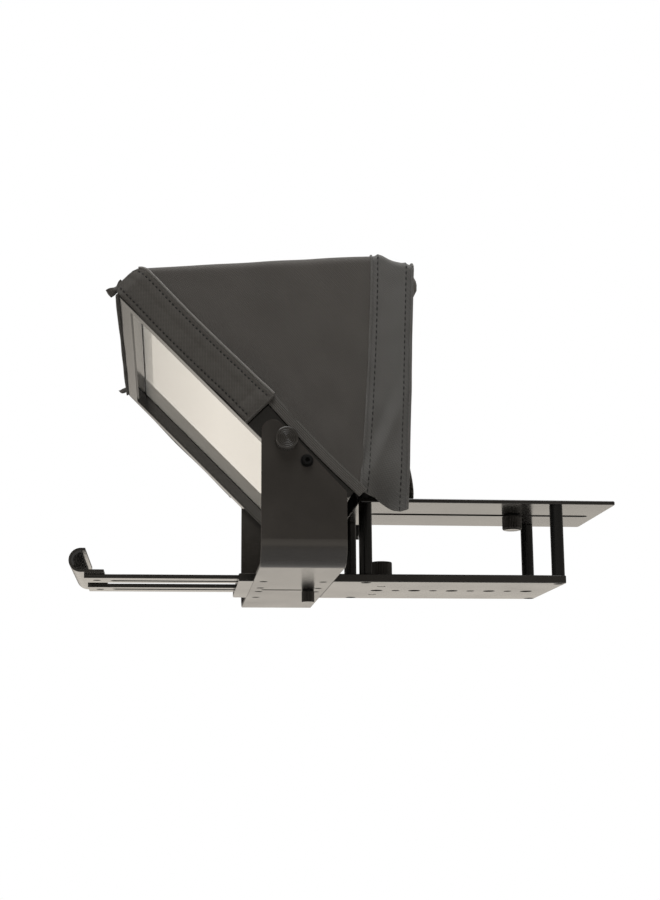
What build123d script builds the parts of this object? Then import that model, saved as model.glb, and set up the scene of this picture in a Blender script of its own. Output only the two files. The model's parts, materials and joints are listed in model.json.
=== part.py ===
"""Through-the-glass teleprompter for a small camera.

A U-shaped bracket carries a square frame with a beam-splitter glass at 45 degrees.
A sliding tray below the glass takes a tablet, and a raised plate behind it takes the camera.
A cloth hood closes the space between the glass and the lens.

Frame of the model: origin at the tripod thread in the underside of the base plate,
+X towards the camera operator, -X towards the person being filmed, +Z up.
"Left" is the -Y side, which is on the operator's left.
"""
import os
from math import cos, radians, sin, tan

from build123d import *

os.makedirs("parts", exist_ok=True)

# ---------------------------------------------------------------- driving sizes (mm)

# Base plate
plate_length = 250.0
plate_width = 110.0
plate_thickness = 6.0
plate_back_x = 109.0
plate_corner = 2.0
plate_edge = 0.5
hole_pitch = 15.0
hole_count_front = 2
hole_count_back = 6
large_thread_radius = 9.525 / 2
small_thread_radius = 6.35 / 2

# U bracket
bracket_x = -100.0
bracket_width = 60.0
bracket_span = 298.0
bracket_sheet = 3.0
bracket_bend = 18.0
bracket_edge = 0.35
upright_diagonal_angle = 46.5
upright_diagonal_gap = 5.5
upright_top_radius = 8.0
upright_corner_radius = 5.0
bracket_screw_dx = 22.4
bracket_screw_outer_y = 52.0
bracket_screw_inner_y = 12.0

# Screws
m3_radius = 1.5
m3_head_radius = 3.0
m4_radius = 2.0
m4_head_radius = 4.0
socket_head_radius = 3.5
socket_head_height = 4.0
washer_radius = 4.5
washer_thickness = 0.8

# Posts and camera plate
post_diameter = 10.0
post_height = 55.0
post_y = 49.5
front_post_x = -44.8
camera_plate_length = 200.0
camera_plate_front_x = -50.0
camera_plate_thickness = 3.0
camera_plate_corner = 3.0
camera_slot_width = 7.0
camera_slot_front_margin = 16.0
camera_slot_back_margin = 8.0
camera_screw_x = 80.3
camera_stud_reach = 5.0
camera_knob_radius = 7.75
camera_knob_height = 11.0

# Sliding tray
rail_inner_y = 15.0
rail_width = 28.0
rail_front_x = -256.0
rail_back_x = 12.0
rail_slot_y = 27.0
rail_slot_width = 7.0
rail_slot_front_margin = 19.0
rail_slot_back_margin = 12.0
rail_groove_end_x = 92.0
tray_knob_x = -30.0
tray_knob_radius = 8.5
tray_knob_height = 11.5
lip_width = 110.0
lip_radius = 9.0
lip_sheet = 2.0
lip_front_x = -267.0
lip_flange_length = 17.0
lip_liner_thickness = 1.5
lip_screw_x = -247.0

# Rear tablet stop
stop_slot_front_x = -121.0
stop_slot_width = 5.2
stop_x = -84.3
stop_stud_radius = 2.5
stop_foot_length = 24.0
stop_foot_width = 26.0
stop_foot_thickness = 3.0
stop_wall_width = 80.0
stop_wall_height = 20.0
stop_wall_thickness = 3.0
stop_pad_thickness = 2.0
stop_knob_radius = 5.0
stop_knob_height = 8.6

# Glass frame, tilted on two pivots
frame_tilt = 45.0
pivot_x = -98.2
pivot_z = 73.1
pivot_to_lower_end = 38.3
pivot_depth = 11.0
tilt_knob_arm = 20.6
tilt_knob_radius = 8.0
tilt_knob_height = 9.0
tilt_travel = 5.0
tilt_slack = 0.5
frame_length = 215.0
frame_depth = 21.0
bar_width = 12.0
bar_edge = 0.5
bar_rebate = 4.0
rebate_depth = 9.0
upright_gap = 1.0
gasket_thickness = 0.8
glass_thickness = 3.0
retainer_thickness = 3.0
retainer_width = 5.0
corner_key_leg = 26.0
corner_key_width = 5.0
corner_key_thickness = 2.5
corner_screw_radius = 1.0
corner_screw_head_radius = 1.9

# Hood
cloth = 1.2
hook_strip_thickness = 0.8
flap_width = 27.0
flap_length = 127.6
elastic_width = 8.0
hood_seam_x = -50.5
hood_top_rise = 16.04
hood_back_x = -22.5
hood_back_bottom_z = 44.0
lens_notch_margin = 7.0
lens_notch_top_z = 165.0

# Clearances
slide_clearance = 0.1
screw_clearance = 0.05
stud_clearance = 0.25
seat_gap = 0.2

# ---------------------------------------------------------------- derived places

plate_front_x = plate_back_x - plate_length
plate_top = plate_thickness
rail_thickness = plate_thickness - bracket_sheet
rail_bottom = bracket_sheet + slide_clearance
rail_top = rail_bottom + rail_thickness
rail_outer_y = rail_inner_y + rail_width
rear_post_x = plate_back_x - post_diameter / 2
camera_plate_bottom = plate_top + post_height
camera_plate_top = camera_plate_bottom + camera_plate_thickness
camera_plate_back_x = camera_plate_front_x + camera_plate_length
camera_slot_front_x = camera_plate_front_x + camera_slot_front_margin
camera_slot_back_x = camera_plate_back_x - camera_slot_back_margin
rail_slot_front_x = rail_front_x + rail_slot_front_margin
rail_slot_back_x = rail_back_x - rail_slot_back_margin
stop_slot_back_x = stop_x + stop_slot_width / 2 + seat_gap
bracket_inner_y = bracket_span / 2 - bracket_sheet
frame_half_width = bracket_inner_y - upright_gap
hook_outer_y = frame_half_width + hook_strip_thickness
hood_outer_y = hook_outer_y + cloth
lens_notch_width = plate_width + 2 * lens_notch_margin

pivot_slope = frame_length - pivot_to_lower_end
slope_x = cos(radians(frame_tilt))
slope_z = -sin(radians(frame_tilt))
depth_x = -slope_z
depth_z = slope_x
frame_origin_x = pivot_x - pivot_slope * slope_x - pivot_depth * depth_x
frame_origin_z = pivot_z - pivot_slope * slope_z - pivot_depth * depth_z
frame_plane = Plane(
    origin=(frame_origin_x, 0, frame_origin_z),
    x_dir=(slope_x, 0, slope_z),
    z_dir=(depth_x, 0, depth_z),
)
tilt_knob_x = pivot_x - tilt_knob_arm * slope_x
tilt_knob_z = pivot_z - tilt_knob_arm * slope_z


def frame_point(slope, depth):
    """X and Z of a point given by its distance down the slope and behind the front face."""
    x = frame_origin_x + slope * slope_x + depth * depth_x
    z = frame_origin_z + slope * slope_z + depth * depth_z
    return x, z


# ---------------------------------------------------------------- shared pieces


def save(part, name):
    """Label one piece and write it as its own STEP."""
    part.label = name
    export_step(part, f"parts/{name}.step")


def countersunk(shank_radius, head_radius, length, clearance=0.0):
    """Countersunk screw along -Z, head flush at Z = 0; with a clearance it is the hole's shape."""
    shank = shank_radius + clearance
    head = head_radius + clearance
    with BuildPart() as screw:
        with BuildSketch(Plane.XZ):
            with BuildLine():
                Polyline(
                    (0, 0), (head, 0), (shank, shank - head), (shank, -length), (0, -length), close=True
                )
            make_face()
        revolve(axis=Axis.Z)
        if clearance == 0.0:
            with BuildSketch():
                RegularPolygon(radius=shank_radius, side_count=6)
            extrude(amount=-(head_radius - shank_radius), mode=Mode.SUBTRACT)
    return screw.part


def knurled_knob(radius, height, bore_radius, flutes, edge=0.8):
    """Thumb knob standing on Z = 0 with fluted sides, a bevelled rim and a blind bore from below."""
    flute_radius = radius * 0.07
    with BuildPart() as knob:
        Cylinder(radius, height, align=(Align.CENTER, Align.CENTER, Align.MIN))
        chamfer(knob.edges().group_by(Axis.Z)[-1], edge)
        with PolarLocations(radius + flute_radius * 0.35, flutes):
            Cylinder(
                flute_radius,
                height,
                align=(Align.CENTER, Align.CENTER, Align.MIN),
                mode=Mode.SUBTRACT,
            )
        Cylinder(
            bore_radius,
            height / 2,
            align=(Align.CENTER, Align.CENTER, Align.MIN),
            mode=Mode.SUBTRACT,
        )
    return knob.part


def turned_knob(radius, height, bore_radius):
    """Tilt knob standing on Z = 0 with smooth sides, bevelled rims and a blind bore."""
    with BuildPart() as knob:
        Cylinder(radius, height, align=(Align.CENTER, Align.CENTER, Align.MIN))
        chamfer(knob.edges().group_by(Axis.Z)[-1], 0.6)
        chamfer(knob.edges().group_by(Axis.Z)[0], 0.4)
        Cylinder(
            bore_radius,
            height * 0.6,
            align=(Align.CENTER, Align.CENTER, Align.MIN),
            mode=Mode.SUBTRACT,
        )
    return knob.part


def stud(radius, length):
    """Plain threaded stud from Z = 0 upwards with bevelled ends."""
    with BuildPart() as pin:
        Cylinder(radius, length, align=(Align.CENTER, Align.CENTER, Align.MIN))
        chamfer(pin.edges().filter_by(GeomType.CIRCLE), radius * 0.15)
    return pin.part


# ---------------------------------------------------------------- base plate

bracket_screw_spots = [
    (bracket_x + sx * bracket_screw_dx, sy * y)
    for sx in (-1, 1)
    for sy in (-1, 1)
    for y in (bracket_screw_inner_y, bracket_screw_outer_y)
]
post_spots = {
    "front_left": (front_post_x, -post_y),
    "front_right": (front_post_x, post_y),
    "rear_left": (rear_post_x, -post_y),
    "rear_right": (rear_post_x, post_y),
}
large_hole_spots = [(i * hole_pitch, 0) for i in range(-hole_count_front, hole_count_back + 1, 2)]
small_hole_spots = [(i * hole_pitch, 0) for i in range(1 - hole_count_front, hole_count_back, 2)]
tray_thread_spots = [(tray_knob_x, -rail_slot_y), (tray_knob_x, rail_slot_y)]
bracket_channel_width = bracket_width + 2 * slide_clearance
groove_length = rail_groove_end_x - plate_front_x
groove_centre_x = (rail_groove_end_x + plate_front_x) / 2
groove_centre_y = (rail_inner_y + rail_outer_y) / 2
groove_width = rail_width + 2 * slide_clearance
stop_slot_length = stop_slot_back_x - stop_slot_front_x
stop_slot_centre_x = (stop_slot_back_x + stop_slot_front_x) / 2

with BuildPart() as base_plate:
    with BuildSketch():
        with Locations(((plate_front_x + plate_back_x) / 2, 0)):
            RectangleRounded(plate_length, plate_width, plate_corner)
    extrude(amount=plate_thickness)
    levels = base_plate.edges().group_by(Axis.Z)
    chamfer(levels[0] + levels[-1], plate_edge)
    # Cross channel in the underside: the bracket sits in it, flush with the plate
    with BuildSketch():
        with Locations((bracket_x, 0)):
            Rectangle(bracket_channel_width, plate_width)
    extrude(amount=bracket_sheet, mode=Mode.SUBTRACT)
    # Two open grooves in the top for the tray rails
    with BuildSketch(Plane.XY.offset(plate_top)):
        with Locations((groove_centre_x, -groove_centre_y), (groove_centre_x, groove_centre_y)):
            Rectangle(groove_length, groove_width)
    extrude(amount=bracket_sheet - plate_thickness, mode=Mode.SUBTRACT)
    # Slot for the clamping stud of the rear stop
    with BuildSketch():
        with Locations((stop_slot_centre_x, 0)):
            SlotOverall(stop_slot_length, stop_slot_width)
    extrude(amount=plate_thickness, mode=Mode.SUBTRACT)
    with Locations(*[(x, y, plate_top) for x, y in large_hole_spots]):
        Hole(large_thread_radius, plate_thickness)
    with Locations(*[(x, y, plate_top) for x, y in small_hole_spots + tray_thread_spots]):
        Hole(small_thread_radius, plate_thickness)
    with Locations(*[(x, y, plate_top) for x, y in bracket_screw_spots]):
        Hole(m3_radius + screw_clearance, plate_thickness)
    with Locations(*[Location((x, y, 0), (180, 0, 0)) for x, y in post_spots.values()]):
        add(countersunk(m4_radius, m4_head_radius, plate_thickness, screw_clearance), mode=Mode.SUBTRACT)
save(base_plate.part, "base_plate")

# ---------------------------------------------------------------- U bracket

diagonal_x = cos(radians(upright_diagonal_angle))
diagonal_z = sin(radians(upright_diagonal_angle))
bracket_left_x = bracket_x - bracket_width / 2
bracket_right_x = bracket_x + bracket_width / 2


def diagonal_height(x):
    """Height of the upright's sloping edge at X, a fixed distance above the pivot."""
    edge_x = pivot_x + upright_diagonal_gap * diagonal_z
    edge_z = pivot_z + upright_diagonal_gap * diagonal_x
    return edge_z - (x - edge_x) * tan(radians(upright_diagonal_angle))


upright_peak_z = diagonal_height(bracket_left_x)
bracket_height = upright_peak_z + 1


def bent_outline(width, bottom, radius):
    """Upright rectangle from a given bottom level with its two lower corners rounded."""
    with BuildSketch(Plane.XY) as outline:
        with Locations((0, bottom)):
            Rectangle(width, bracket_height, align=(Align.CENTER, Align.MIN))
        fillet(outline.vertices().group_by(Axis.Y)[0], radius)
    return outline.sketch


bent_outer = bent_outline(bracket_span, 0, bracket_bend)
bent_inner = bent_outline(2 * bracket_inner_y, bracket_sheet, bracket_bend - bracket_sheet)

with BuildPart() as mount_bracket:
    with BuildSketch(Plane.YZ.offset(bracket_left_x)):
        add(bent_outer)
        add(bent_inner, mode=Mode.SUBTRACT)
    extrude(amount=bracket_width)
    # Side outline: straight front edge, short rear edge and a diagonal between them
    with BuildSketch(Plane.XZ):
        with BuildLine():
            Polyline(
                (bracket_left_x, 0),
                (bracket_right_x, 0),
                (bracket_right_x, diagonal_height(bracket_right_x)),
                (bracket_left_x, upright_peak_z),
                close=True,
            )
        outline = make_face()
        peak = outline.vertices().sort_by(Axis.Y)[-1]
        corner = outline.vertices().group_by(Axis.X)[-1].sort_by(Axis.Y)[-1]
        fillet(peak, upright_top_radius)
        fillet(corner, upright_corner_radius)
    extrude(amount=bracket_span, both=True, mode=Mode.INTERSECT)
    chamfer(mount_bracket.edges(), bracket_edge)
    with Locations(*[Location((x, y, 0), (180, 0, 0)) for x, y in bracket_screw_spots]):
        add(countersunk(m3_radius, m3_head_radius, bracket_sheet, screw_clearance), mode=Mode.SUBTRACT)
    with BuildSketch():
        with Locations((stop_slot_centre_x, 0)):
            SlotOverall(stop_slot_length, stop_slot_width)
    extrude(amount=bracket_sheet, mode=Mode.SUBTRACT)
    # Pivot holes, and arc slots that let the tilt studs swing about them
    with BuildSketch(Plane.XZ):
        with Locations((pivot_x, pivot_z)):
            Circle(m4_radius + screw_clearance)
        with BuildLine():
            CenterArc(
                (pivot_x, pivot_z),
                tilt_knob_arm,
                180 - frame_tilt - tilt_travel - tilt_slack,
                2 * (tilt_travel + tilt_slack),
            )
            offset(amount=m4_radius + stud_clearance)
        make_face()
    extrude(amount=bracket_span, both=True, mode=Mode.SUBTRACT)
save(mount_bracket.part, "mount_bracket")

with BuildPart() as bracket_screws:
    with Locations(*[Location((x, y, 0), (180, 0, 0)) for x, y in bracket_screw_spots]):
        add(countersunk(m3_radius, m3_head_radius, plate_thickness))
save(bracket_screws.part, "bracket_screws")

# ---------------------------------------------------------------- posts and camera plate

post_thread_depth = 12.0

for spot_name, (x, y) in post_spots.items():
    with BuildPart() as post:
        with Locations((x, y, plate_top)):
            Cylinder(post_diameter / 2, post_height, align=(Align.CENTER, Align.CENTER, Align.MIN))
        chamfer(post.edges().filter_by(GeomType.CIRCLE), 0.4)
        with Locations((x, y, plate_top)):
            Cylinder(
                m4_radius + screw_clearance,
                post_thread_depth,
                align=(Align.CENTER, Align.CENTER, Align.MIN),
                mode=Mode.SUBTRACT,
            )
        with Locations((x, y, camera_plate_bottom)):
            Cylinder(
                m4_radius + screw_clearance,
                post_thread_depth,
                align=(Align.CENTER, Align.CENTER, Align.MAX),
                mode=Mode.SUBTRACT,
            )
    save(post.part, f"post_{spot_name}")

post_screw_reach = post_thread_depth - 2
with BuildPart() as post_lower_screws:
    with Locations(*[Location((x, y, 0), (180, 0, 0)) for x, y in post_spots.values()]):
        add(countersunk(m4_radius, m4_head_radius, plate_thickness + post_screw_reach))
save(post_lower_screws.part, "post_lower_screws")

with BuildPart() as post_upper_screws:
    with Locations(*[(x, y, camera_plate_top) for x, y in post_spots.values()]):
        add(countersunk(m4_radius, m4_head_radius, camera_plate_thickness + post_screw_reach))
save(post_upper_screws.part, "post_upper_screws")

camera_slot_length = camera_slot_back_x - camera_slot_front_x
with BuildPart() as camera_plate:
    with BuildSketch(Plane.XY.offset(camera_plate_bottom)):
        with Locations((camera_plate_front_x + camera_plate_length / 2, 0)):
            RectangleRounded(camera_plate_length, plate_width, camera_plate_corner)
        with Locations((camera_slot_front_x + camera_slot_length / 2, 0)):
            SlotOverall(camera_slot_length, camera_slot_width, mode=Mode.SUBTRACT)
    extrude(amount=camera_plate_thickness)
    levels = camera_plate.edges().group_by(Axis.Z)
    chamfer(levels[0] + levels[-1], plate_edge)
    with Locations(*[(x, y, camera_plate_top) for x, y in post_spots.values()]):
        add(
            countersunk(m4_radius, m4_head_radius, camera_plate_thickness, screw_clearance),
            mode=Mode.SUBTRACT,
        )
save(camera_plate.part, "camera_plate")

# ---------------------------------------------------------------- camera screw

camera_washer_bottom = camera_plate_bottom - slide_clearance - washer_thickness
camera_knob_top = camera_washer_bottom - slide_clearance
camera_bore_depth = camera_knob_height / 2

with BuildPart() as camera_screw_knob:
    with Locations(Location((camera_screw_x, 0, camera_knob_top), (180, 0, 0))):
        add(knurled_knob(camera_knob_radius, camera_knob_height, small_thread_radius, 24, 2.0))
save(camera_screw_knob.part, "camera_screw_knob")

camera_neck_radius = small_thread_radius - 0.2
camera_thread_bottom = camera_plate_top + seat_gap
with BuildPart() as camera_screw_stud:
    with Locations((camera_screw_x, 0, camera_knob_top - camera_bore_depth)):
        Cylinder(small_thread_radius, camera_bore_depth, align=(Align.CENTER, Align.CENTER, Align.MIN))
    with Locations((camera_screw_x, 0, camera_knob_top)):
        Cylinder(
            camera_neck_radius,
            camera_thread_bottom - camera_knob_top,
            align=(Align.CENTER, Align.CENTER, Align.MIN),
        )
    with Locations((camera_screw_x, 0, camera_thread_bottom)):
        Cylinder(small_thread_radius, camera_stud_reach, align=(Align.CENTER, Align.CENTER, Align.MIN))
    chamfer(camera_screw_stud.edges().group_by(Axis.Z)[-1], 0.4)
save(camera_screw_stud.part, "camera_screw_stud")

with BuildPart() as camera_screw_washer:
    with BuildSketch(Plane.XY.offset(camera_washer_bottom)):
        with Locations((camera_screw_x, 0)):
            Circle(camera_knob_radius - 0.5)
            Circle(small_thread_radius + slide_clearance, mode=Mode.SUBTRACT)
    extrude(amount=washer_thickness)
save(camera_screw_washer.part, "camera_screw_washer")

# ---------------------------------------------------------------- sliding tray

rail_length = rail_back_x - rail_front_x
rail_slot_length = rail_slot_back_x - rail_slot_front_x
lip_screw_ys = [-groove_centre_y, groove_centre_y]
lip_bottom = rail_top
lip_centre_x = lip_front_x + lip_radius
lip_centre_z = lip_bottom + lip_radius

for side, sign in (("left", -1), ("right", 1)):
    with BuildPart() as tray_rail:
        with BuildSketch(Plane.XY.offset(rail_bottom)):
            with Locations(((rail_front_x + rail_back_x) / 2, sign * groove_centre_y)):
                Rectangle(rail_length, rail_width)
            with Locations(((rail_slot_front_x + rail_slot_back_x) / 2, sign * rail_slot_y)):
                SlotOverall(rail_slot_length, rail_slot_width, mode=Mode.SUBTRACT)
        extrude(amount=rail_thickness)
        chamfer(tray_rail.edges().filter_by(Axis.X).group_by(Axis.Z)[-1], 0.3)
        with Locations(Location((lip_screw_x, sign * groove_centre_y, rail_bottom), (180, 0, 0))):
            add(countersunk(m3_radius, m3_head_radius, rail_thickness, screw_clearance), mode=Mode.SUBTRACT)
    save(tray_rail.part, f"tray_rail_{side}")

lip_top = lip_bottom + 2 * lip_radius
lip_end_x = lip_centre_x + 3
lip_flange_end_x = lip_centre_x + lip_flange_length
with BuildPart() as tray_lip:
    with BuildSketch(Plane.XZ.offset(-lip_width / 2)):
        with BuildLine():
            ThreePointArc(
                (lip_centre_x, lip_bottom),
                (lip_front_x, lip_centre_z),
                (lip_centre_x, lip_top),
            )
            Polyline(
                (lip_centre_x, lip_top),
                (lip_end_x, lip_top),
                (lip_end_x, lip_top - lip_sheet),
                (lip_centre_x, lip_top - lip_sheet),
            )
            ThreePointArc(
                (lip_centre_x, lip_top - lip_sheet),
                (lip_front_x + lip_sheet, lip_centre_z),
                (lip_centre_x, lip_bottom + lip_sheet),
            )
            Polyline(
                (lip_centre_x, lip_bottom + lip_sheet),
                (lip_flange_end_x, lip_bottom + lip_sheet),
                (lip_flange_end_x, lip_bottom),
                (lip_centre_x, lip_bottom),
            )
        make_face()
    extrude(amount=lip_width)
    with Locations(*[(lip_screw_x, y, lip_bottom + lip_sheet) for y in lip_screw_ys]):
        Hole(m3_radius + screw_clearance, lip_sheet)
save(tray_lip.part, "tray_lip")

liner_outer = lip_radius - lip_sheet
liner_inner = liner_outer - lip_liner_thickness
liner_end = 215.0
with BuildPart() as tray_lip_liner:
    with BuildSketch(Plane.XZ.offset(-lip_width / 2)):
        with BuildLine():
            outer_arc = CenterArc((lip_centre_x, lip_centre_z), liner_outer, 90, liner_end - 90)
            inner_arc = CenterArc((lip_centre_x, lip_centre_z), liner_inner, 90, liner_end - 90)
            Line(outer_arc @ 0, inner_arc @ 0)
            Line(outer_arc @ 1, inner_arc @ 1)
        make_face()
    extrude(amount=lip_width)
save(tray_lip_liner.part, "tray_lip_liner")

with BuildPart() as lip_screws:
    with Locations(*[Location((lip_screw_x, y, rail_bottom), (180, 0, 0)) for y in lip_screw_ys]):
        add(countersunk(m3_radius, m3_head_radius, rail_thickness + lip_sheet))
save(lip_screws.part, "lip_screws")

# ---------------------------------------------------------------- tray clamp knobs

tray_washer_bottom = rail_top + slide_clearance
tray_knob_bottom = tray_washer_bottom + washer_thickness + slide_clearance
tray_bore_depth = tray_knob_height / 2

for side, (x, y) in zip(("left", "right"), tray_thread_spots):
    with BuildPart() as tray_knob:
        with Locations((x, y, tray_knob_bottom)):
            add(knurled_knob(tray_knob_radius, tray_knob_height, small_thread_radius, 28))
    save(tray_knob.part, f"tray_knob_{side}")
    with BuildPart() as tray_stud:
        with Locations((x, y, seat_gap)):
            add(stud(small_thread_radius - screw_clearance, tray_knob_bottom + tray_bore_depth - seat_gap))
    save(tray_stud.part, f"tray_knob_stud_{side}")

with BuildPart() as tray_washers:
    with BuildSketch(Plane.XY.offset(tray_washer_bottom)):
        with Locations(*tray_thread_spots):
            Circle(tray_knob_radius - 0.5)
            Circle(small_thread_radius + slide_clearance, mode=Mode.SUBTRACT)
    extrude(amount=washer_thickness)
save(tray_washers.part, "tray_washers")

# ---------------------------------------------------------------- rear tablet stop

stop_bottom = rail_top + slide_clearance + seat_gap
stop_front_x = stop_x - stop_foot_length / 2

with BuildPart() as rear_stop:
    with BuildSketch(Plane.XY.offset(stop_bottom)):
        with Locations((stop_x, 0)):
            Rectangle(stop_foot_length, stop_foot_width)
    extrude(amount=stop_foot_thickness)
    with BuildSketch(Plane.XY.offset(stop_bottom)):
        with Locations((stop_front_x + stop_wall_thickness / 2, 0)):
            Rectangle(stop_wall_thickness, stop_wall_width)
    extrude(amount=stop_wall_height)
    fillet(rear_stop.edges().filter_by(Axis.X).group_by(Axis.Z)[-1], 3)
    with Locations((stop_x, 0, stop_bottom + stop_foot_thickness)):
        Hole(stop_stud_radius + screw_clearance, stop_foot_thickness)
save(rear_stop.part, "rear_stop")

with BuildPart() as rear_stop_pad:
    with BuildSketch(Plane.YZ.offset(stop_front_x)):
        with Locations((0, stop_bottom + stop_wall_height / 2)):
            RectangleRounded(stop_wall_width - 4, stop_wall_height - 3, 2)
    extrude(amount=-stop_pad_thickness)
save(rear_stop_pad.part, "rear_stop_pad")

stop_knob_top = -1.0
with BuildPart() as rear_stop_knob:
    with Locations(Location((stop_x, 0, stop_knob_top), (180, 0, 0))):
        add(knurled_knob(stop_knob_radius, stop_knob_height, stop_stud_radius, 18, 0.6))
save(rear_stop_knob.part, "rear_stop_knob")

stop_stud_length = stop_bottom + stop_foot_thickness - stop_knob_top + stop_knob_height / 2
with BuildPart() as rear_stop_stud:
    with Locations((stop_x, 0, stop_knob_top - stop_knob_height / 2)):
        add(stud(stop_stud_radius, stop_stud_length))
save(rear_stop_stud.part, "rear_stop_stud")

with BuildPart() as rear_stop_washer:
    with BuildSketch(Plane.XY.offset(-slide_clearance)):
        with Locations((stop_x, 0)):
            Circle(stop_knob_radius - 0.4)
            Circle(stop_stud_radius + slide_clearance, mode=Mode.SUBTRACT)
    extrude(amount=stop_knob_top + 2 * slide_clearance)
save(rear_stop_washer.part, "rear_stop_washer")

# ---------------------------------------------------------------- glass frame

frame_screw_depth = bar_width - bar_rebate - 1.5
key_screw_inset = 5.0


def mitred_bar(offset_from, offset_to, depth_from, depth_to, which):
    """Part of one frame bar between two offsets from the outline, mitred at both ends.

    The four bars are named top, bottom, left and right as seen down the slope.
    """
    near, far = offset_from, offset_to
    half = frame_half_width
    end = frame_length
    outlines = {
        "top": [(near, -half + near), (near, half - near), (far, half - far), (far, -half + far)],
        "bottom": [
            (end - near, -half + near),
            (end - near, half - near),
            (end - far, half - far),
            (end - far, -half + far),
        ],
        "left": [
            (near, -half + near),
            (end - near, -half + near),
            (end - far, -half + far),
            (far, -half + far),
        ],
        "right": [
            (near, half - near),
            (end - near, half - near),
            (end - far, half - far),
            (far, half - far),
        ],
    }
    with BuildPart() as bar:
        with BuildSketch(frame_plane.offset(depth_from)):
            with BuildLine():
                Polyline(*outlines[which], close=True)
            make_face()
        extrude(amount=depth_to - depth_from)
    return bar.part


def outline_distance(point):
    """How far inside the frame's outline a point lies, measured along the frame plane."""
    local = frame_plane.to_local_coords(point)
    return min(local.X, frame_length - local.X, frame_half_width - abs(local.Y))


def corner_frames():
    """Corner places in the frame plane with the turn that points both legs of a key inwards."""
    half = frame_half_width
    return [(0, -half, 0), (0, half, -90), (frame_length, half, 180), (frame_length, -half, 90)]


def corner_key(leg, width, margin):
    """Flat L key lying just inside a corner, recessed into the back faces of two bars."""
    with BuildSketch(Plane.XY, mode=Mode.PRIVATE) as shape:
        with Locations((margin, margin)):
            Rectangle(leg, width, align=(Align.MIN, Align.MIN))
            Rectangle(width, leg, align=(Align.MIN, Align.MIN))
    return shape.sketch


key_margin = (bar_width - bar_rebate - corner_key_width) / 2
key_floor = frame_depth - corner_key_thickness
key_screw_far = key_margin + corner_key_leg - key_screw_inset
key_screw_near = key_margin + corner_key_width / 2
key_screw_spots = [(key_screw_far, key_screw_near), (key_screw_near, key_screw_far)]

with BuildPart() as corner_keys:
    for cx, cy, turn in corner_frames():
        with BuildSketch(frame_plane.offset(key_floor)):
            with Locations(Location((cx, cy, 0), (0, 0, turn))):
                add(corner_key(corner_key_leg, corner_key_width, key_margin))
                with Locations(*key_screw_spots):
                    Circle(corner_screw_radius + screw_clearance, mode=Mode.SUBTRACT)
        extrude(amount=corner_key_thickness - slide_clearance)
save(corner_keys.part, "corner_keys")

with BuildPart() as corner_screws:
    for cx, cy, turn in corner_frames():
        with BuildSketch(frame_plane.offset(key_floor - 5)):
            with Locations(Location((cx, cy, 0), (0, 0, turn))):
                with Locations(*key_screw_spots):
                    Circle(corner_screw_radius)
        extrude(amount=5 + corner_key_thickness - slide_clearance)
        with BuildSketch(frame_plane.offset(frame_depth - slide_clearance)):
            with Locations(Location((cx, cy, 0), (0, 0, turn))):
                with Locations(*key_screw_spots):
                    Circle(corner_screw_head_radius)
        extrude(amount=1.0)
save(corner_screws.part, "corner_screws")

for bar_name in ("top", "bottom", "left", "right"):
    with BuildPart() as frame_bar:
        add(mitred_bar(0, bar_width, 0, rebate_depth, bar_name))
        add(mitred_bar(0, bar_width - bar_rebate, rebate_depth, frame_depth, bar_name))
        run = Axis.Y if bar_name in ("top", "bottom") else Axis((0, 0, 0), (slope_x, 0, slope_z))
        long_edges = frame_bar.edges().filter_by(run)
        chamfer(long_edges.sort_by(lambda e: outline_distance(e.center()))[:2], bar_edge)
        # A fine step along the inner edge of the front face
        add(mitred_bar(bar_width - 1.2, bar_width, 0, 1.2, bar_name), mode=Mode.SUBTRACT)
        for cx, cy, turn in corner_frames():
            with BuildSketch(frame_plane.offset(key_floor)):
                with Locations(Location((cx, cy, 0), (0, 0, turn))):
                    add(corner_key(corner_key_leg + slide_clearance, corner_key_width, key_margin))
            extrude(amount=corner_key_thickness, mode=Mode.SUBTRACT)
            with BuildSketch(frame_plane.offset(key_floor)):
                with Locations(Location((cx, cy, 0), (0, 0, turn))):
                    with Locations(*key_screw_spots):
                        Circle(corner_screw_radius + screw_clearance)
            extrude(amount=-5, mode=Mode.SUBTRACT)
        if bar_name in ("left", "right"):
            sign = -1 if bar_name == "left" else 1
            spots = [(pivot_x, pivot_z), (tilt_knob_x, tilt_knob_z)]
            with BuildSketch(Plane.XZ.offset(-sign * frame_half_width)):
                with Locations(*spots):
                    Circle(m4_radius + screw_clearance)
            extrude(amount=sign * frame_screw_depth, mode=Mode.SUBTRACT)
    save(frame_bar.part, f"frame_{bar_name}_bar")

glass_margin = bar_width - bar_rebate + 0.5
glass_bottom = rebate_depth + gasket_thickness
with BuildPart() as glass_gasket:
    with BuildSketch(frame_plane.offset(rebate_depth)):
        with Locations((frame_length / 2, 0)):
            Rectangle(frame_length - 2 * glass_margin, 2 * frame_half_width - 2 * glass_margin)
            Rectangle(
                frame_length - 2 * bar_width,
                2 * frame_half_width - 2 * bar_width,
                mode=Mode.SUBTRACT,
            )
    extrude(amount=gasket_thickness)
save(glass_gasket.part, "glass_gasket")

with BuildPart() as beamsplitter_glass:
    with BuildSketch(frame_plane.offset(glass_bottom)):
        with Locations((frame_length / 2, 0)):
            Rectangle(frame_length - 2 * glass_margin, 2 * frame_half_width - 2 * glass_margin)
    extrude(amount=glass_thickness)
save(beamsplitter_glass.part, "beamsplitter_glass")

retainer_bottom = glass_bottom + glass_thickness
retainer_offset = bar_width - bar_rebate
with BuildPart() as glass_retainer:
    for bar_name in ("top", "bottom", "left", "right"):
        add(
            mitred_bar(
                retainer_offset + slide_clearance,
                retainer_offset + retainer_width,
                retainer_bottom,
                retainer_bottom + retainer_thickness,
                bar_name,
            )
        )
save(glass_retainer.part, "glass_retainer")

# ---------------------------------------------------------------- pivots and tilt knobs

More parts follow.
